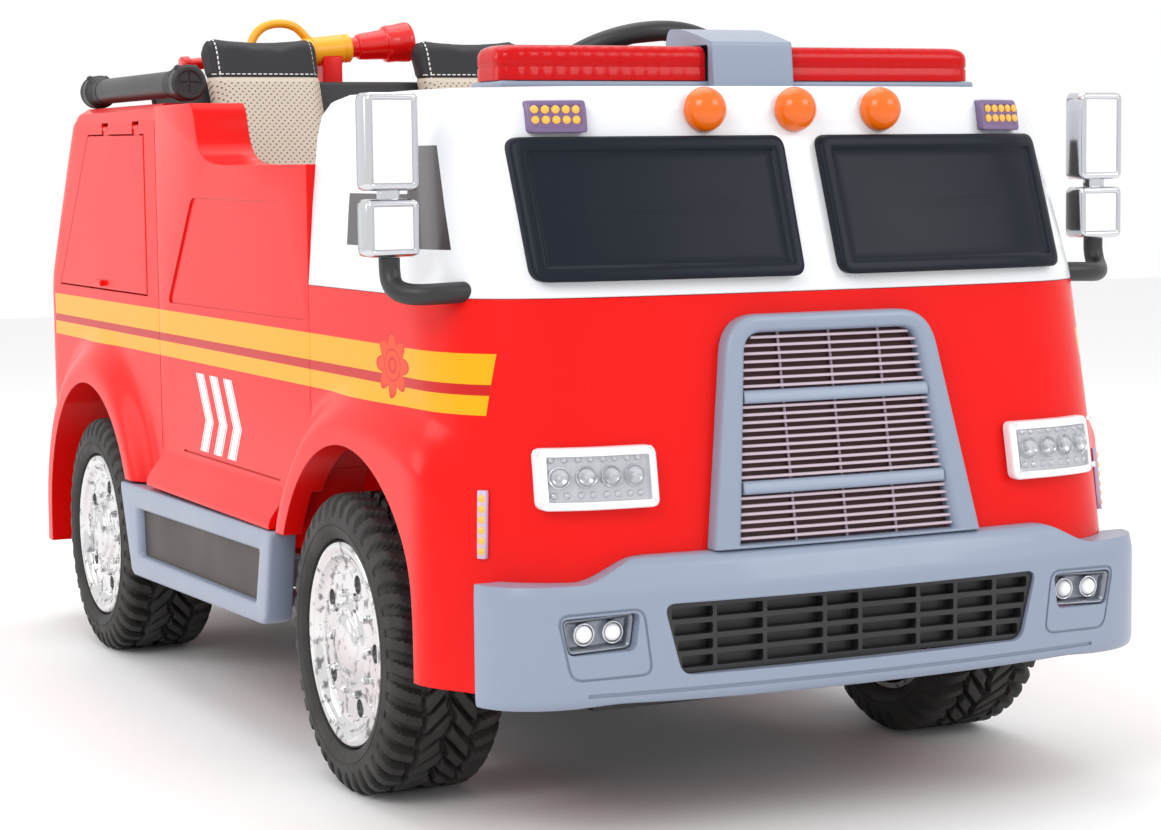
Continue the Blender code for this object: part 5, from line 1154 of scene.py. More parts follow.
def build_bumper():
    table = [(0.121, -0.679), (0.1215, -0.682), (0.123, -0.6845), (0.1255, -0.6866),
             (0.1285, -0.6876),
             (0.132, -0.688), (0.202, -0.688), (0.207, -0.6876), (0.211, -0.6866), (0.215, -0.6852),
             (0.22, -0.683), (0.227, -0.6805), (0.231, -0.6785), (0.234, -0.676), (0.2358, -0.673),
             (0.2365, -0.669)]
    bumper = rings("front_bumper_bar", [bumper_ring(z, front) for z, front in table])
    for _, side in SIDES:
        shoulder = [(0.184, 0.25), (0.184, 0.2362)]
        for k in range(25):
            t = k / 24
            shoulder.append((0.186 + 0.054 * t, 0.2362 - 0.0182 * blend(t)))
        shoulder += [(0.34, 0.218), (0.34, 0.25)]
        cut(bumper, prism("shoulder", sided(shoulder, side), "Y", -0.75, -0.5))
    cut(bumper, box("behind", (-0.4, -0.617, 0.05), (0.4, -0.5, 0.3)))
    heights = spread(0.05, 0.32, 20)
    cab = rings("cab", [nose_ring(z, -0.0008, -0.5, True, 8, 16, 12) for z in heights])
    cut(bumper, cab)
    cut(bumper, box("hollow", (-0.24, -0.664, 0.05), (0.24, -0.6, 0.2)))
    cut(bumper, prism("mouth", sharp_loop(GRILLE_MOUTH, 0.01), "Y", -0.75, -0.6))
    for _, side in SIDES:
        cut(bumper, prism("pocket", sided(sharp_loop(FOG_OUTLINE, 0.006), side), "Y", -0.75,
                          -0.654))
        # A moulded line round the fog lamp, as a shallow channel.
        around = [(0.183, 0.145), (0.25, 0.1435), (0.261, 0.1965), (0.19, 0.1985)]
        line = []
        for distance, low in ((0.0, -0.75), (0.0, -0.6)):
            line.append([(u, low, v) for u, v in sharp_loop(inset(around, distance), 0.01)])
        ring_out = rings("line", line)
        line = []
        for distance, low in ((0.0016, -0.76), (0.0016, -0.59)):
            line.append([(u, low, v) for u, v in sharp_loop(inset(around, distance), 0.009)])
        cut(ring_out, rings("line_inside", line))
        skin = rings("skin", [bumper_ring(z, -0.6868) for z in (0.13, 0.22)])
        cut(ring_out, skin)
        ring_out.data.transform(Matrix.Diagonal((side, 1, 1, 1)))
        cut(bumper, settled(ring_out))
    # A fine channel runs along the lower lip.
    lip, skin = [rings("lip", [bumper_ring(z, front) for z in (0.1305, 0.133)])
                 for front in (-0.75, -0.6866)]
    ends = [box("lip_end", (0.236, -0.9, 0.1), (0.5, -0.3, 0.2)),
            box("lip_end", (-0.5, -0.9, 0.1), (-0.236, -0.3, 0.2)),
            box("lip_back", (-0.5, -0.6, 0.1), (0.5, 0.1, 0.2))]
    cut(lip, skin, *ends)
    cut(bumper, settled(lip))
    show(bumper, "body", "grey", ["front_bumper"], 38)


def build_bumper_grille():
    """Black bars in four rows with rounded edges, and a dark sheet behind them as painted shade."""
    grille = prism("bumper_grille_bars", sharp_loop(inset(GRILLE_MOUTH, 0.0006), 0.0095), "Y",
                   -0.6762, -0.666)
    columns = [-0.168, -0.128, -0.083, -0.028, 0.005, 0.06, 0.096, 0.134, 0.168]
    rows = [0.1455, 0.159, 0.1715, 0.1845, 0.1975]
    cells = []
    for low, high in zip(rows, rows[1:]):
        for left, right in zip(columns, columns[1:]):
            bottom, top = low + 0.0022, high - 0.0022
            reach = between(bottom, [(0.143, 0.156), (0.2, 0.171)])
            u0, u1 = max(left + 0.0018, -reach), min(right - 0.0018, reach)
            cells.append(prism("cell",
                               sharp_loop([(u0, bottom), (u1, bottom), (u1, top), (u0, top)],
                                          0.0018, 3), "Y", -0.7, -0.65))
    cut(grille, *cells)
    show(bevelled(grille, 0.0011, 3), "body", "black", ["bumper_grille"], 45)
    # A black sheet just behind the bars: painted shade in the mouth of the bumper.
    painted_shade_sheet = prism("bumper_grille_shade", sharp_loop(inset(GRILLE_MOUTH, 0.0012), 0.009), "Y",
                    -0.6656, -0.6648)
    show(painted_shade_sheet, "body", "black", ["bumper_grille"])


def settled(obj):
    """Turns the faces of a mirrored mesh the right way out."""
    bm = bmesh.new()
    bm.from_mesh(obj.data)
    bmesh.ops.recalc_face_normals(bm, faces=bm.faces)
    bm.to_mesh(obj.data)
    bm.free()
    return obj


def build_fog_lamps():
    def upright(u, v, height):
        return (u, FOG_Y - height, v)

    for name, side in SIDES:
        outline = sided(inset(FOG_OUTLINE, 0.0006), side)
        levels = [(0.0, -0.003), (0.0, 0.006), (0.0005, 0.0072), (0.0012, 0.0076), (0.0022, 0.0072),
                  (0.0036, 0.003),
                  (0.005, 0.0006), (0.009, 0.0002), (0.013, 0.0)]
        tray = plate("fog_lamp_" + name + "_tray", outline, 0.0055, levels, upright, 6, 10)
        show(tray, "body", "tray", ["fog_lamp_" + name], 50)
        bulbs, rims = [], []
        for x in (0.212, 0.2368):
            place = Matrix.Translation((side * x, FOG_Y,
                                        0.1795)) @ Matrix.Rotation(math.radians(90), 4, "X")
            bulbs.append(turned("bulb",
                                [(0.0, 0.009), (0.003, 0.0086), (0.0054, 0.0074), (0.0068, 0.0052),
                                         (0.0072, 0.0), (0.0, 0.0)], 40, place, 0.001))
            rims.append(turned("rim", [(0.0076, 0.0), (0.0076, 0.005), (0.0081, 0.0056),
                                       (0.009, 0.0054),
                                       (0.0094, 0.0044), (0.0094, 0.0)], 40, place, 0.0004))
        show(joined("fog_lamp_" + name + "_bulbs", bulbs), "body", "bulb",
             ["fog_lamp_" + name])
        show(joined("fog_lamp_" + name + "_rims", rims), "body", "silver",
             ["fog_lamp_" + name])


def build_light_bar():
    base = box("light_bar_foot", (-0.229, -0.503, 0.6034), (0.229, -0.441, 0.609), 0.0026, 4)
    show(base, "body", "grey", ["light_bar_base"])
    for name, side in SIDES:
        low, high = 0.0397, 0.228
        half, middle = 0.03, -0.472
        loops = []
        table = [(0.0, 0.0), (0.0, 0.01), (0.0006, 0.0108), (0.0006, 0.0118), (0.0, 0.0126),
                 (0.0, 0.019),
                 (0.0006, 0.0225), (0.0022, 0.0255), (0.0048, 0.0276), (0.008, 0.0288),
                 (0.012, 0.0291)]
        for shrink, height in table:
            outline = corners_of([(low, middle - half + shrink),
                                  (high - shrink, middle - half + shrink),
                                  (high - shrink, middle + half - shrink),
                                  (low, middle + half - shrink)],
                                 [0.001, 0.017, 0.017, 0.001], 8, 12)
            loops.append([(side * p.x, p.y, 0.6094 + height) for p in outline])
        lens = rings("light_bar_" + name + "_lens", loops)
        show(lens, "body", "red_glass", ["light_bar_lens_" + name], 45)
        core = box("light_bar_" + name + "_core", (min(side * 0.048, side * 0.213), -0.49, 0.6096),
                   (max(side * 0.048, side * 0.213), -0.454, 0.629), 0.005, 3)
        show(core, "body", "red_core", ["light_bar_lens_" + name])
    front, back, foot, top = -0.502, -0.442, 0.6034, 0.6385
    outer = [(front - 0.0125, foot), (front - 0.009, top + 0.003), (-0.482, 0.649),
             (-0.456, 0.6545),
             (-0.432, 0.6555), (-0.427, 0.642), (back + 0.016, foot)]
    inner = [(front - 0.002, foot), (front - 0.002, top + 0.0006), (back + 0.0015, top + 0.0006),
             (back + 0.0015, foot)]
    outside = corners_of(outer, [0.0004, 0.003, 0.008, 0.008, 0.007, 0.004, 0.0004], 8,
                         4)[: 9 * 7 + 3 * 6]
    inside = corners_of(inner, [0.0004, 0.0035, 0.0035, 0.0004], 8, 4)[: 9 * 4 + 3 * 3]
    outline = [(p.x, p.y) for p in outside] + [(p.x, p.y) for p in reversed(inside)]
    strap = bevelled(prism("light_bar_saddle", outline, "X", -0.0385, 0.0385), 0.0016, 4)
    show(strap, "body", "grey", ["light_bar_strap"])


def build_mirrors():
    x, y = 0.339, -0.53
    for name, side in SIDES:
        route = [(0.274, -0.559, 0.4415), (0.298, -0.561, 0.441), (0.311, -0.56, 0.4405),
                 (0.3225, -0.556, 0.44), (0.331, -0.5485, 0.4405), (0.3365, -0.5405, 0.443),
                 (0.3388, -0.5335, 0.448), (x, y, 0.458), (x, y, 0.4688)]
        arm = tube("mirror_" + name + "_arm", [(side * a, b, c) for a, b, c in route], 0.0085, 32)
        show(arm, "body", "black", ["mirror_arm_" + name], 60)

        def head(u, v, height):
            return (side * x + u, y - height, v)

        heads, faces = [], []
        for low, high in ((0.4694, 0.515), (0.5215, 0.5985)):
            outline = [(-0.0225, low), (0.0225, low), (0.0225, high), (-0.0225, high)]
            levels = [(0.0035, -0.013), (0.001, -0.0118), (0.0, -0.0095), (0.0, 0.0085),
                      (0.0006, 0.011),
                      (0.002, 0.0126), (0.0034, 0.013), (0.0048, 0.0128), (0.0056, 0.0118),
                      (0.006, 0.01)]
            heads.append(plate("rim", outline, 0.0065, levels, head, 6, 4))
            levels = [(0.0058, 0.009), (0.0058, 0.0112), (0.0064, 0.0118), (0.0074, 0.012),
                      (0.011, 0.0121), (0.014, 0.0121)]
            faces.append(plate("face", outline, 0.0065, levels, head, 6, 4))
        heads.append(box("neck", (side * x - 0.008, y - 0.006, 0.51),
                         (side * x + 0.008, y + 0.006, 0.526), 0.002))
        body = name + "_mirror"
        show(joined("mirror_" + name + "_rims", heads), body, "silver",
             ["mirror_head_" + name], 50)
        show(joined("mirror_" + name + "_faces", faces), body, "mirror",
             ["mirror_head_" + name], 50)


# ---- the sides ----------------------------------------------------------------------
def build_steps():
    outline = [(0.306, 0.204), (-0.1955, 0.208), (-0.1765, 0.119), (0.266, 0.107)]
    tread = [(0.24, 0.18), (-0.162, 0.1875), (-0.148, 0.137), (0.236, 0.131)]
    for name, side in SIDES:
        def on_side(u, v, height):
            return (side * (0.304 + height), u, v)

        outside = corners_of(outline, [0.007, 0.007, 0.014, 0.01], 8, 16)
        inside = corners_of(tread, [0.005, 0.005, 0.005, 0.005], 8, 16)
        loops = []
        for mix, height in ((0.25, 0.0), (0.02, 0.0), (0.0, 0.001), (0.0, 0.023), (0.02, 0.0248),
                            (0.07, 0.0258),
                            (0.15, 0.026), (0.84, 0.026), (0.92, 0.0254), (0.97, 0.0238),
                            (1.0, 0.02), (1.0, 0.015)):
            loops.append([on_side(*(a.lerp(b, mix)), height) for a, b in zip(outside, inside)])
        frame_piece = rings("side_step_" + name + "_frame", loops, (False, False), True, True)
        show(frame_piece, "body", "grey", ["side_step_" + name], 60)
        levels = [(-0.003, 0.0155), (-0.003, 0.018), (0.01, 0.018), (0.018, 0.018), (0.022, 0.018)]
        insert = plate("side_step_" + name + "_tread", tread, 0.005, levels, on_side, 6, 14)
        show(insert, "body", "tread", ["side_step_" + name])
        arms = [box("arm", (min(side * 0.1604, side * 0.306), y, 0.127),
                    (max(side * 0.1604, side * 0.306), y + 0.03, 0.14),
                    0.002) for y in (-0.135, 0.15)]
        show(joined("side_step_" + name + "_arms", arms), "body", "grey",
             ["side_step_" + name])


def build_hose():
    x, z = -0.281, 0.628
    place = Matrix.Translation((x, 0.172, z)) @ Matrix.Rotation(math.radians(-90), 4, "X")
    profile = [(0.0, 0.3612), (0.012, 0.3612), (0.0126, 0.363), (0.016, 0.363), (0.0188, 0.3606)]
    profile += [(0.0188, 0.358), (0.0182, 0.357), (0.0182, 0.344), (0.0188, 0.343), (0.0188, 0.341),
                (0.0165, 0.339)]
    for k in range(6):
        h = 0.337 - 0.0042 * k
        profile += [(0.015, h), (0.015, h - 0.0024), (0.0141, h - 0.003), (0.0141, h - 0.0036)]
    for k in range(6):
        h = 0.0495 - 0.0042 * k
        profile += [(0.0141, h + 0.0036), (0.0141, h + 0.003), (0.015, h + 0.0024), (0.015, h)]
    profile += [(0.0165, 0.024), (0.0188, 0.022), (0.0188, 0.02), (0.0182, 0.019), (0.0182, 0.006),
                (0.0188, 0.005)]
    profile += [(0.0188, 0.0024), (0.016, 0.0), (0.0126, 0.0), (0.012, 0.0018), (0.0, 0.0018)]
    pipe = turned("hose_locker", profile, 72, place)
    slots = [box("slot", (x - 0.01, 0.16, z - 0.0012), (x + 0.01, 0.1752, z + 0.0012)),
             box("slot", (x - 0.0012, 0.16, z - 0.01), (x + 0.0012, 0.1752, z + 0.01))]
    cut(pipe, *slots)
    show(pipe, "body", "black", ["hose_tube"], 40)
    knobs = []
    for y in (0.183, 0.524):
        for turn in (-32, 32):
            out = Vector((math.sin(math.radians(turn)), 0.0, math.cos(math.radians(turn))))
            spin = facing(out)
            knobs.append(screw(Matrix.Translation(Vector((x, y, z)) + out * 0.0184) @ spin, 0.0036,
                               0.003, "knob"))
    show(joined("hose_locker_knobs", knobs), "body", "black", ["hose_tube"], 40)


def build_gun():
    place = Matrix.Translation(GUN_START) @ facing(GUN_AXIS)
    profile = [(0.0, 0.269), (0.013, 0.27), (0.0165, 0.28), (0.0205, 0.2815), (0.0228, 0.28),
               (0.0235, 0.2765),
               (0.0228, 0.27), (0.0218, 0.262), (0.0216, 0.252), (0.0205, 0.249), (0.0178, 0.248),
               (0.017, 0.242),
               (0.0158, 0.226), (0.015, 0.218), (0.014, 0.215), (0.0115, 0.214), (0.0115, 0.206),
               (0.0068, 0.2058),
               (0.0068, 0.012), (0.0085, 0.0112), (0.01, 0.0098), (0.01, 0.0018), (0.0085, 0.0),
               (0.0, 0.0)]
    show(turned("water_gun_nozzle", profile, 64, place, 0.0008), "gun_barrel",
         "plain_red",
         ["water_gun_barrel"], 40)
    sleeve = [(0.0074, 0.205), (0.0152, 0.205), (0.0165, 0.2035), (0.0165, 0.1985),
              (0.0156, 0.1975), (0.0156, 0.1955),
              (0.0165, 0.1945), (0.0165, 0.159), (0.0156, 0.158), (0.0156, 0.156), (0.0165, 0.155),
              (0.0165, 0.15),
              (0.0152, 0.1485), (0.0074, 0.1485)]
    grip = turned("sleeve", sleeve, 64, place)
    grip = closed_bore(grip)
    handle = tube("handle", [gun_point(0.158, 0.012), gun_point(0.15, 0.022),
                             gun_point(0.143, 0.03), gun_point(0.132, 0.035),
                             gun_point(0.12, 0.0366), gun_point(0.108, 0.0355),
                             gun_point(0.098, 0.031),
                             gun_point(0.09, 0.023), gun_point(0.086, 0.015)], 0.005, 24)
    show(joined("water_gun_handle", [grip, handle]), "body", "yellow",
         ["water_gun_grip"], 40)


def closed_bore(obj):
    """Closes the bore of a sleeve that was turned as an open profile."""
    bm = bmesh.new()
    bm.from_mesh(obj.data)
    edges = [e for e in bm.edges if e.is_boundary]
    if edges:
        bmesh.ops.bridge_loops(bm, edges=edges)
    bmesh.ops.recalc_face_normals(bm, faces=bm.faces)
    bm.to_mesh(obj.data)
    bm.free()
    return obj


# ---- wheels -------------------------------------------------------------------------
def wheel_place(name):
    """Axle along the side's outward X."""
    x, y = HUBS[name]
    turn = Matrix.Rotation(math.radians(90 if x > 0 else -90), 4, "Y")
    return Matrix.Translation((x, y, TYRE_R)) @ turn


def tyre_depth(angle, w):
    """How far below the full radius the tread lies: blocks either side of a zigzag groove."""
    pitch = 2 * math.pi / 40
    edge = abs(w)
    swing = 0.003 * math.sin(angle * 20)
    groove = blend((abs(w - swing) - 0.0012) / 0.0022)
    rib = blend((abs(edge - 0.0245 - swing * math.copysign(0.6, w)) - 0.001) / 0.002)

    def lugs(shift, slant, gap):
        place = ((angle + slant * edge) / pitch + shift) % 1.0
        side = min(place, 1 - place) * pitch * TYRE_R
        return blend((side - gap) / 0.0022)

    side_shift = 0.0 if w > 0 else 0.5
    inner = lugs(side_shift, 9.0, 0.0014)
    outer = lugs(side_shift + 0.45, -3.0, 0.0034)
    blocks = inner if edge < 0.0245 else outer
    return 0.0074 * (1 - min(groove, rib, blocks))


def build_tyres():
    half = TYRE_HALF
    around = 448
    section = [(RIM_R + 0.0005, half - 0.0075), (RIM_R + 0.0012, half - 0.0045),
               (RIM_R + 0.0035, half - 0.0022),
               (RIM_R + 0.006, half - 0.0012), (0.0985, half - 0.0004), (0.1022, half),
               (0.1028, half - 0.0007),
               (0.1036, half - 0.0007), (0.1042, half), (0.108, half - 0.0003),
               (0.1115, half - 0.0013)]
    section += [(0.1115 + 0.019 * math.sin(math.radians(a)),
                 half - 0.014 + 0.0127 * math.cos(math.radians(a)))
                for a in range(10, 90, 8)]
    top = spread(half - 0.014, -(half - 0.014), 54)
    crown = [(TYRE_R, w) for w in top]
    profile = section + crown + [(r, -w) for r, w in reversed(section)]
    loops = []
    for k in range(around):
        angle = 2 * math.pi * (k + 0.5) / around
        loop = []
        for r, w in profile:
            if r > 0.1098:
                share = blend((r - 0.1098) / 0.009)
                r -= tyre_depth(angle, w) * share
            loop.append((r * math.cos(angle), r * math.sin(angle), w))
        loops.append(loop)
    base = rings("tyre", loops, (False, False), True, True)
    for name in HUBS:
        mesh = base.data.copy()
        mesh.transform(wheel_place(name))
        piece = placed("tyre_" + name + "_tread", mesh)
        body = name.split("_")[0] + "_wheel_" + name.split("_")[1]
        show(piece, body, "rubber", ["tyre_" + name], 30)
    bpy.data.objects.remove(base)


def wheel_holes():
    """Middles of the five holes in the wheel."""
    for i in range(5):
        turn = math.radians(126 + 72 * i)
        yield HOLE_CIRCLE_R * math.cos(turn), HOLE_CIRCLE_R * math.sin(turn)


def round_axle(count, first, radius, height):
    """Placements spaced evenly round the axle, from an angle in degrees."""
    for i in range(count):
        turn = math.radians(first + 360 // count * i)
        yield Matrix.Translation((radius * math.cos(turn), radius * math.sin(turn), height))


def build_wheels():
    half = TYRE_HALF
    face = half - 0.004
    profile = [(0.0, face + 0.002), (0.008, face + 0.0018), (0.016, face + 0.0012),
               (0.0215, face + 0.0002),
               (0.0245, face - 0.0012), (0.0255, face - 0.0026), (0.0262, face - 0.0032),
               (0.032, face - 0.0034),
               (0.034, face - 0.0044), (0.0356, face - 0.0064), (0.0374, face - 0.0072),
               (0.048, face - 0.0079),
               (0.066, face - 0.008), (0.0704, face - 0.0074), (0.0734, face - 0.0056),
               (0.0755, face - 0.0032),
               (0.0764, face - 0.002), (0.0775, face - 0.0016), (0.079, face - 0.002),
               (0.08, face - 0.0013),
               (0.084, face), (0.0875, face - 0.0004), (0.0898, face - 0.0022),
               (RIM_R, face - 0.005),
               (RIM_R, -half + 0.007), (RIM_R - 0.006, -half + 0.007),
               (RIM_R - 0.006, face - 0.028),
               (0.02, face - 0.028), (0.02, -half + 0.004), (0.009, -half + 0.004),
               (0.009, face - 0.02),
               (0.0, face - 0.02)]
    disc = turned("wheel", profile, 120, None, 0.0008)
    for x, y in wheel_holes():
        cut(disc, rod("hole", (x, y, 0.0), (x, y, 0.08), 0.008, 40))
    studs = []
    nut = [(0.0, 0.0058), (0.0014, 0.0054), (0.0022, 0.004), (0.0034, 0.0036), (0.0038, 0.0),
           (0.0, 0.0)]
    for place in round_axle(10, 18, 0.0445, face - 0.0076):
        studs.append(turned("nut", nut, 6, place))
    for place in round_axle(20, 9, 0.0655, face - 0.008):
        studs.append(turned("bead", [(0.0, 0.0022), (0.0012, 0.0018), (0.0019, 0.0), (0.0, 0.0)],
                            14, place))
    for place in round_axle(10, 0, 0.03, face - 0.0034):
        studs.append(turned("bead", [(0.0, 0.0014), (0.001, 0.0011), (0.0015, 0.0), (0.0, 0.0)], 14,
                            place))
    stud_piece = joined("studs", studs)
    # Black pieces inside the five holes darken them: painted shade in the holes.
    hole_shades = []
    for x, y in wheel_holes():
        hole_shades.append(rod("hole_shade", (x, y, face - 0.0275), (x, y, face - 0.0108), 0.00795))
    dark = joined("dark", hole_shades)
    for name in HUBS:
        body = name.split("_")[0] + "_wheel_" + name.split("_")[1]
        # The black pieces in the holes are painted shade.
        for source, word, finish in ((disc, "disc", "chrome"), (stud_piece, "nuts", "chrome"),
                                     (dark, "holes", "black")):
            mesh = source.data.copy()
            mesh.transform(wheel_place(name))
            piece = placed("wheel_" + name + "_" + word, mesh)
            show(piece, body, finish, ["wheel_" + name], 30)
    bpy.data.objects.remove(disc)
    bpy.data.objects.remove(dark)
    bpy.data.objects.remove(stud_piece)


# ---- seats --------------------------------------------------------------------------
def seat_y(z):
    return SEAT_Y + (z - SEAT_Z) * SEAT_SLOPE


def baked(obj):
    """Turns the modifiers of an object into its mesh."""
    graph = bpy.context.evaluated_depsgraph_get()
    mesh = bpy.data.meshes.new_from_object(obj.evaluated_get(graph))
    obj.modifiers.clear()
    obj.data = mesh
    return obj


def swollen(obj, cap):
    """Air pressure rounds the pad off; no point moves further than the cap."""
    start = [vert.co.copy() for vert in obj.data.vertices]
    cloth = obj.modifiers.new("cloth", "CLOTH")
    cloth.settings.use_pressure = True
    cloth.settings.uniform_pressure_force = 4.0
    cloth.settings.effector_weights.gravity = 0.0
    scene = bpy.context.scene
    for frame_number in range(1, 21):
        scene.frame_set(frame_number)
    graph = bpy.context.evaluated_depsgraph_get()
    moved = [vert.co.copy() for vert in obj.evaluated_get(graph).data.vertices]
    obj.modifiers.clear()
    scene.frame_set(1)
    for vert, before, after in zip(obj.data.vertices, start, moved):
        step = after - before
        if step.length > cap:
            step *= cap / step.length
        vert.co = before + step
    return obj


def pad(name, low, high, place, crown, rounding, seams, cap=0.0045):
    """A stuffed pad: crowned, drawn in between its corners, swollen, with its seams sewn in."""
    low, high = Vector(low), Vector(high)
    slim = Vector((0.003, 0.003, 0.0015))
    half = (high - low) / 2 - slim
    bm = bmesh.new()
    bmesh.ops.create_cube(bm, size=2.0)
    bmesh.ops.subdivide_edges(bm, edges=bm.edges, cuts=24, use_grid_fill=True)
    inner = Vector([max(h - rounding, 0.0005) for h in half])
    for vert in bm.verts:
        u, v, w = vert.co
        point = Vector([vert.co[i] * half[i] for i in range(3)])
        core = Vector([min(max(point[i], -inner[i]), inner[i]) for i in range(3)])
        off = point - core
        if off.length > 1e-9:
            off = off.normalized() * min(off.length, rounding)
        point = core + off
        pull = 0.004
        point.x -= math.copysign(pull * (1 - (point.y / half.y) ** 2) * abs(u) ** 3, point.x)
        point.y -= math.copysign(pull * (1 - (point.x / half.x) ** 2) * abs(v) ** 3, point.y)
        if w > 0:
            point.z += crown * ((1 - (point.x / half.x) ** 2) * (1 - (point.y / half.y) ** 2) - 1)
        vert.co = point + (low + high) / 2 - Vector((0, 0, slim.z))
    obj = made(name, bm)
    skin = obj.modifiers.new("skin", "REMESH")
    skin.mode = "VOXEL"
    skin.voxel_size = 0.005
    baked(obj)
    swollen(obj, cap)
    finer = obj.modifiers.new("smooth", "SUBSURF")
    finer.levels = finer.render_levels = 1
    baked(obj)
    normals = [vert.normal.copy() for vert in obj.data.vertices]
    for vert, normal in zip(obj.data.vertices, normals):
        depth = max(seam(place @ vert.co) for seam in seams)
        vert.co -= normal * depth
        for i in range(3):  # it is flat only where it rests
            vert.co[i] = min(max(vert.co[i], low[i]), high[i])
    obj.data.transform(place)
    return obj


def groove(distance, depth=0.0018, width=0.0036):
    return depth * (1 - blend(abs(distance) / width))


def build_seats():
    def bench_seam(point):
        """A welt along the front edge and one between the two places."""
        front = groove(point.y - 0.0235) if point.z > BENCH_Z + 0.02 else 0.0
        middle = groove(abs(point.x) - 0.01) if point.z > BENCH_Z + 0.02 else 0.0
        return max(front, middle)

    def back_seam(point):
        over = point.z - BLACK_FROM_Z
        side = abs(abs(point.x) - SEAT_X)
        across = groove(over)
        upright = groove(side - SIDE_SEAM_X) if over > 0 else 0.0
        return max(across, upright)

    bench = pad("seat_cushion_pad", (-0.24, 0.012, BENCH_Z + 0.0004), (0.24, 0.26, BENCH_Z + 0.046),
                Matrix.Identity(4), 0.006, 0.014, [bench_seam])
    show(bench, "body", "leather", ["seat_cushion"], 80)
    lean = math.atan(SEAT_SLOPE)
    foot, top = BENCH_Z + 0.048, 0.69
    length = (top - foot) / math.cos(lean)
    for name, side in SIDES:
        # The pad stands on its lower edge and leans back; its face is its local top.
        base = Matrix.Translation((side * SEAT_X, seat_y(foot), foot))
        base = base @ Matrix.Rotation(-lean, 4, "X") @ Matrix.Rotation(math.radians(90), 4, "X")
        back = pad("backrest_" + name + "_pad", (-0.074, 0.0, -0.0415),
                   (0.074, length + 0.009, 0.0),
                   base, 0.004, 0.013, [back_seam])
        show(back, "body", "leather", ["backrest_" + name], 80)


def build_steering():
    place = Matrix.Translation(COLUMN_HEAD) @ facing(Vector((0, 0.6, 0.8)), "X")
    loops = []
    for k in range(120):
        a = 2 * math.pi * k / 120
        loop = []
        for j in range(24):
            b = 2 * math.pi * j / 24
            r = 0.0105 - 0.0006 * blend((math.cos(a * 20) - 0.2) / 0.6) * (math.cos(b) < 0)
            reach = 0.1095 + r * math.cos(b)
            loop.append((reach * math.cos(a), reach * math.sin(a), r * math.sin(b)))
        loops.append(loop)
    rim = rings("rim", loops, (False, False), True, True)
    hub = turned("hub", [(0.0222, -0.0045), (0.034, -0.006), (0.0365, -0.008), (0.036, -0.018),
                         (0.016, -0.024),
                         (0.0075, -0.024), (0.0075, -0.011), (0.0222, -0.0105)], 64, None, 0.001)
    hub = closed_bore(hub)
    spokes = []
    for angle in (90, 180, 270):
        outline = [(0.03, -0.011), (0.06, -0.0085), (0.112, -0.008), (0.112, 0.008), (0.06, 0.0085),
                   (0.03, 0.011)]
        arm = bevelled(prism("spoke", outline, "Z", -0.012, -0.0035), 0.0025, 4)
        cut(arm)
        arm.data.transform(Matrix.Rotation(math.radians(angle), 4, "Z"))
        spokes.append(arm)
    wheel = joined("steering_wheel_ring", [rim, hub] + spokes)
    wheel.data.transform(place)
    show(wheel, "steering", "black", ["steering_wheel"], 40)
    horn = turned("horn_pad", [(0.0, 0.0005), (0.008, 0.0003), (0.015, -0.0006), (0.0196, -0.0026),
                               (0.0212, -0.005),
                               (0.0215, -0.007), (0.0, -0.007)], 64, place, 0.0008)
    show(horn, "horn", "plain_red", ["horn_button"], 40)


def carry_over():
    """The CAD nodes that keep their own shape get their finish."""
    finishes = {
        "dashboard": "black", "chassis": "black", "motor_gearbox_right": "black",
        "motor_gearbox_left": "black", "battery": "black", "accelerator_pedal": "black",
        "direction_lever": "black",
        "rear_axle": "steel", "steering_knuckle_right": "steel", "steering_knuckle_left": "steel",
        "tie_rod": "steel",
        "steering_column": "steel", "power_switch": "plain_red", "hatch_right": "red",
        "hatch_left": "red",
        "seat_back_panel": "dark_leather",
    }
    for name, finish in finishes.items():
        node = NODES[name]
        node.data.materials.clear()
        node.data.materials.append(MATERIALS[finish])


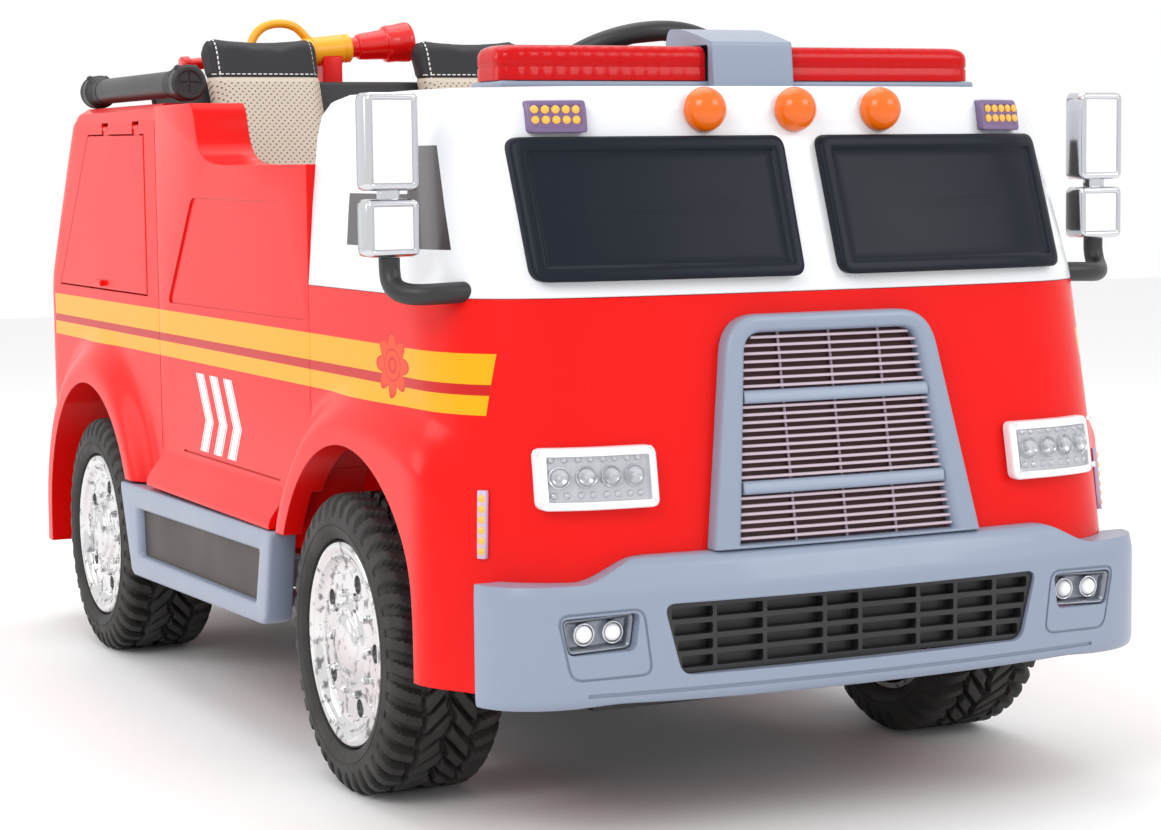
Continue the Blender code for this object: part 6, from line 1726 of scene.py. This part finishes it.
# ---- floor, light and camera --------------------------------------------------------
def build_studio():
    bpy.ops.mesh.primitive_plane_add(size=1.0)
    floor = bpy.context.active_object
    floor.name = "studio_floor"
    floor.data.transform(Matrix.Diagonal((14, 14, 1, 1)))
    maker = Maker("studio floor", (0.9, 0.9, 0.9), 0.6, 0.0, 0.0, 0.2)
    floor.data.materials.append(maker.material)
    world = bpy.data.worlds.new("studio")
    bpy.context.scene.world = world
    world.use_nodes = True
    world.node_tree.nodes["Background"].inputs["Color"].default_value = (1.0, 1.0, 1.0, 1)
    world.node_tree.nodes["Background"].inputs["Strength"].default_value = 1.0
    # Plain display colours.
    bpy.context.scene.view_settings.view_transform = "Standard"
    for place, aim, size, power in (
        ((-2.6, -2.2, 2.6), (0.0, -0.1, 0.3), (1.6, 1.6), 40),
        ((1.8, -2.8, 2.2), (0.0, -0.4, 0.3), (1.6, 1.2), 22),
        ((0.0, 0.6, 3.0), (0.0, 0.0, 0.3), (2.4, 2.4), 30),
        ((-2.8, 1.6, 1.4), (0.0, 0.2, 0.3), (1.2, 1.6), 14),
    ):
        light = bpy.data.lights.new("softbox", "AREA")
        light.shape = "RECTANGLE"
        light.size, light.size_y = size
        light.energy = power
        lamp = bpy.data.objects.new("softbox", light)
        lamp.location = place
        lamp.rotation_euler = (Vector(aim) - Vector(place)).to_track_quat("-Z", "Y").to_euler()
        bpy.context.scene.collection.objects.link(lamp)


def build_camera():
    azimuth, pitch, roll = math.radians(-25.459), math.radians(5.476), math.radians(-0.66)
    forward = Vector((-math.sin(azimuth) * math.cos(pitch), math.cos(azimuth) * math.cos(pitch),
                      -math.sin(pitch)))
    right = Vector((math.cos(azimuth), math.sin(azimuth), 0.0))
    up = right.cross(forward)
    axis_x = right * math.cos(roll) + up * math.sin(roll)
    axis_y = up * math.cos(roll) - right * math.sin(roll)
    camera_data = bpy.data.cameras.new("camera")
    camera_data.sensor_width = 36
    camera_data.lens = 82.306
    camera = bpy.data.objects.new("camera", camera_data)
    bpy.context.scene.collection.objects.link(camera)
    turn = Matrix((axis_x, axis_y, -forward)).transposed().to_4x4()
    camera.matrix_world = Matrix.Translation((-1.1061, -2.4893, 0.5435)) @ turn
    bpy.context.scene.camera = camera


def main():
    build_studio()
    build_camera()
    build_cab_lower()
    build_cab_upper()
    build_middle()
    build_rear()
    build_windscreens()
    build_radiator()
    build_headlamps()
    build_markers()
    build_bumper()
    build_bumper_grille()
    build_fog_lamps()
    build_light_bar()
    build_mirrors()
    build_steps()
    build_hose()
    build_gun()
    build_tyres()
    build_wheels()
    build_seats()
    build_steering()
    carry_over()


main()
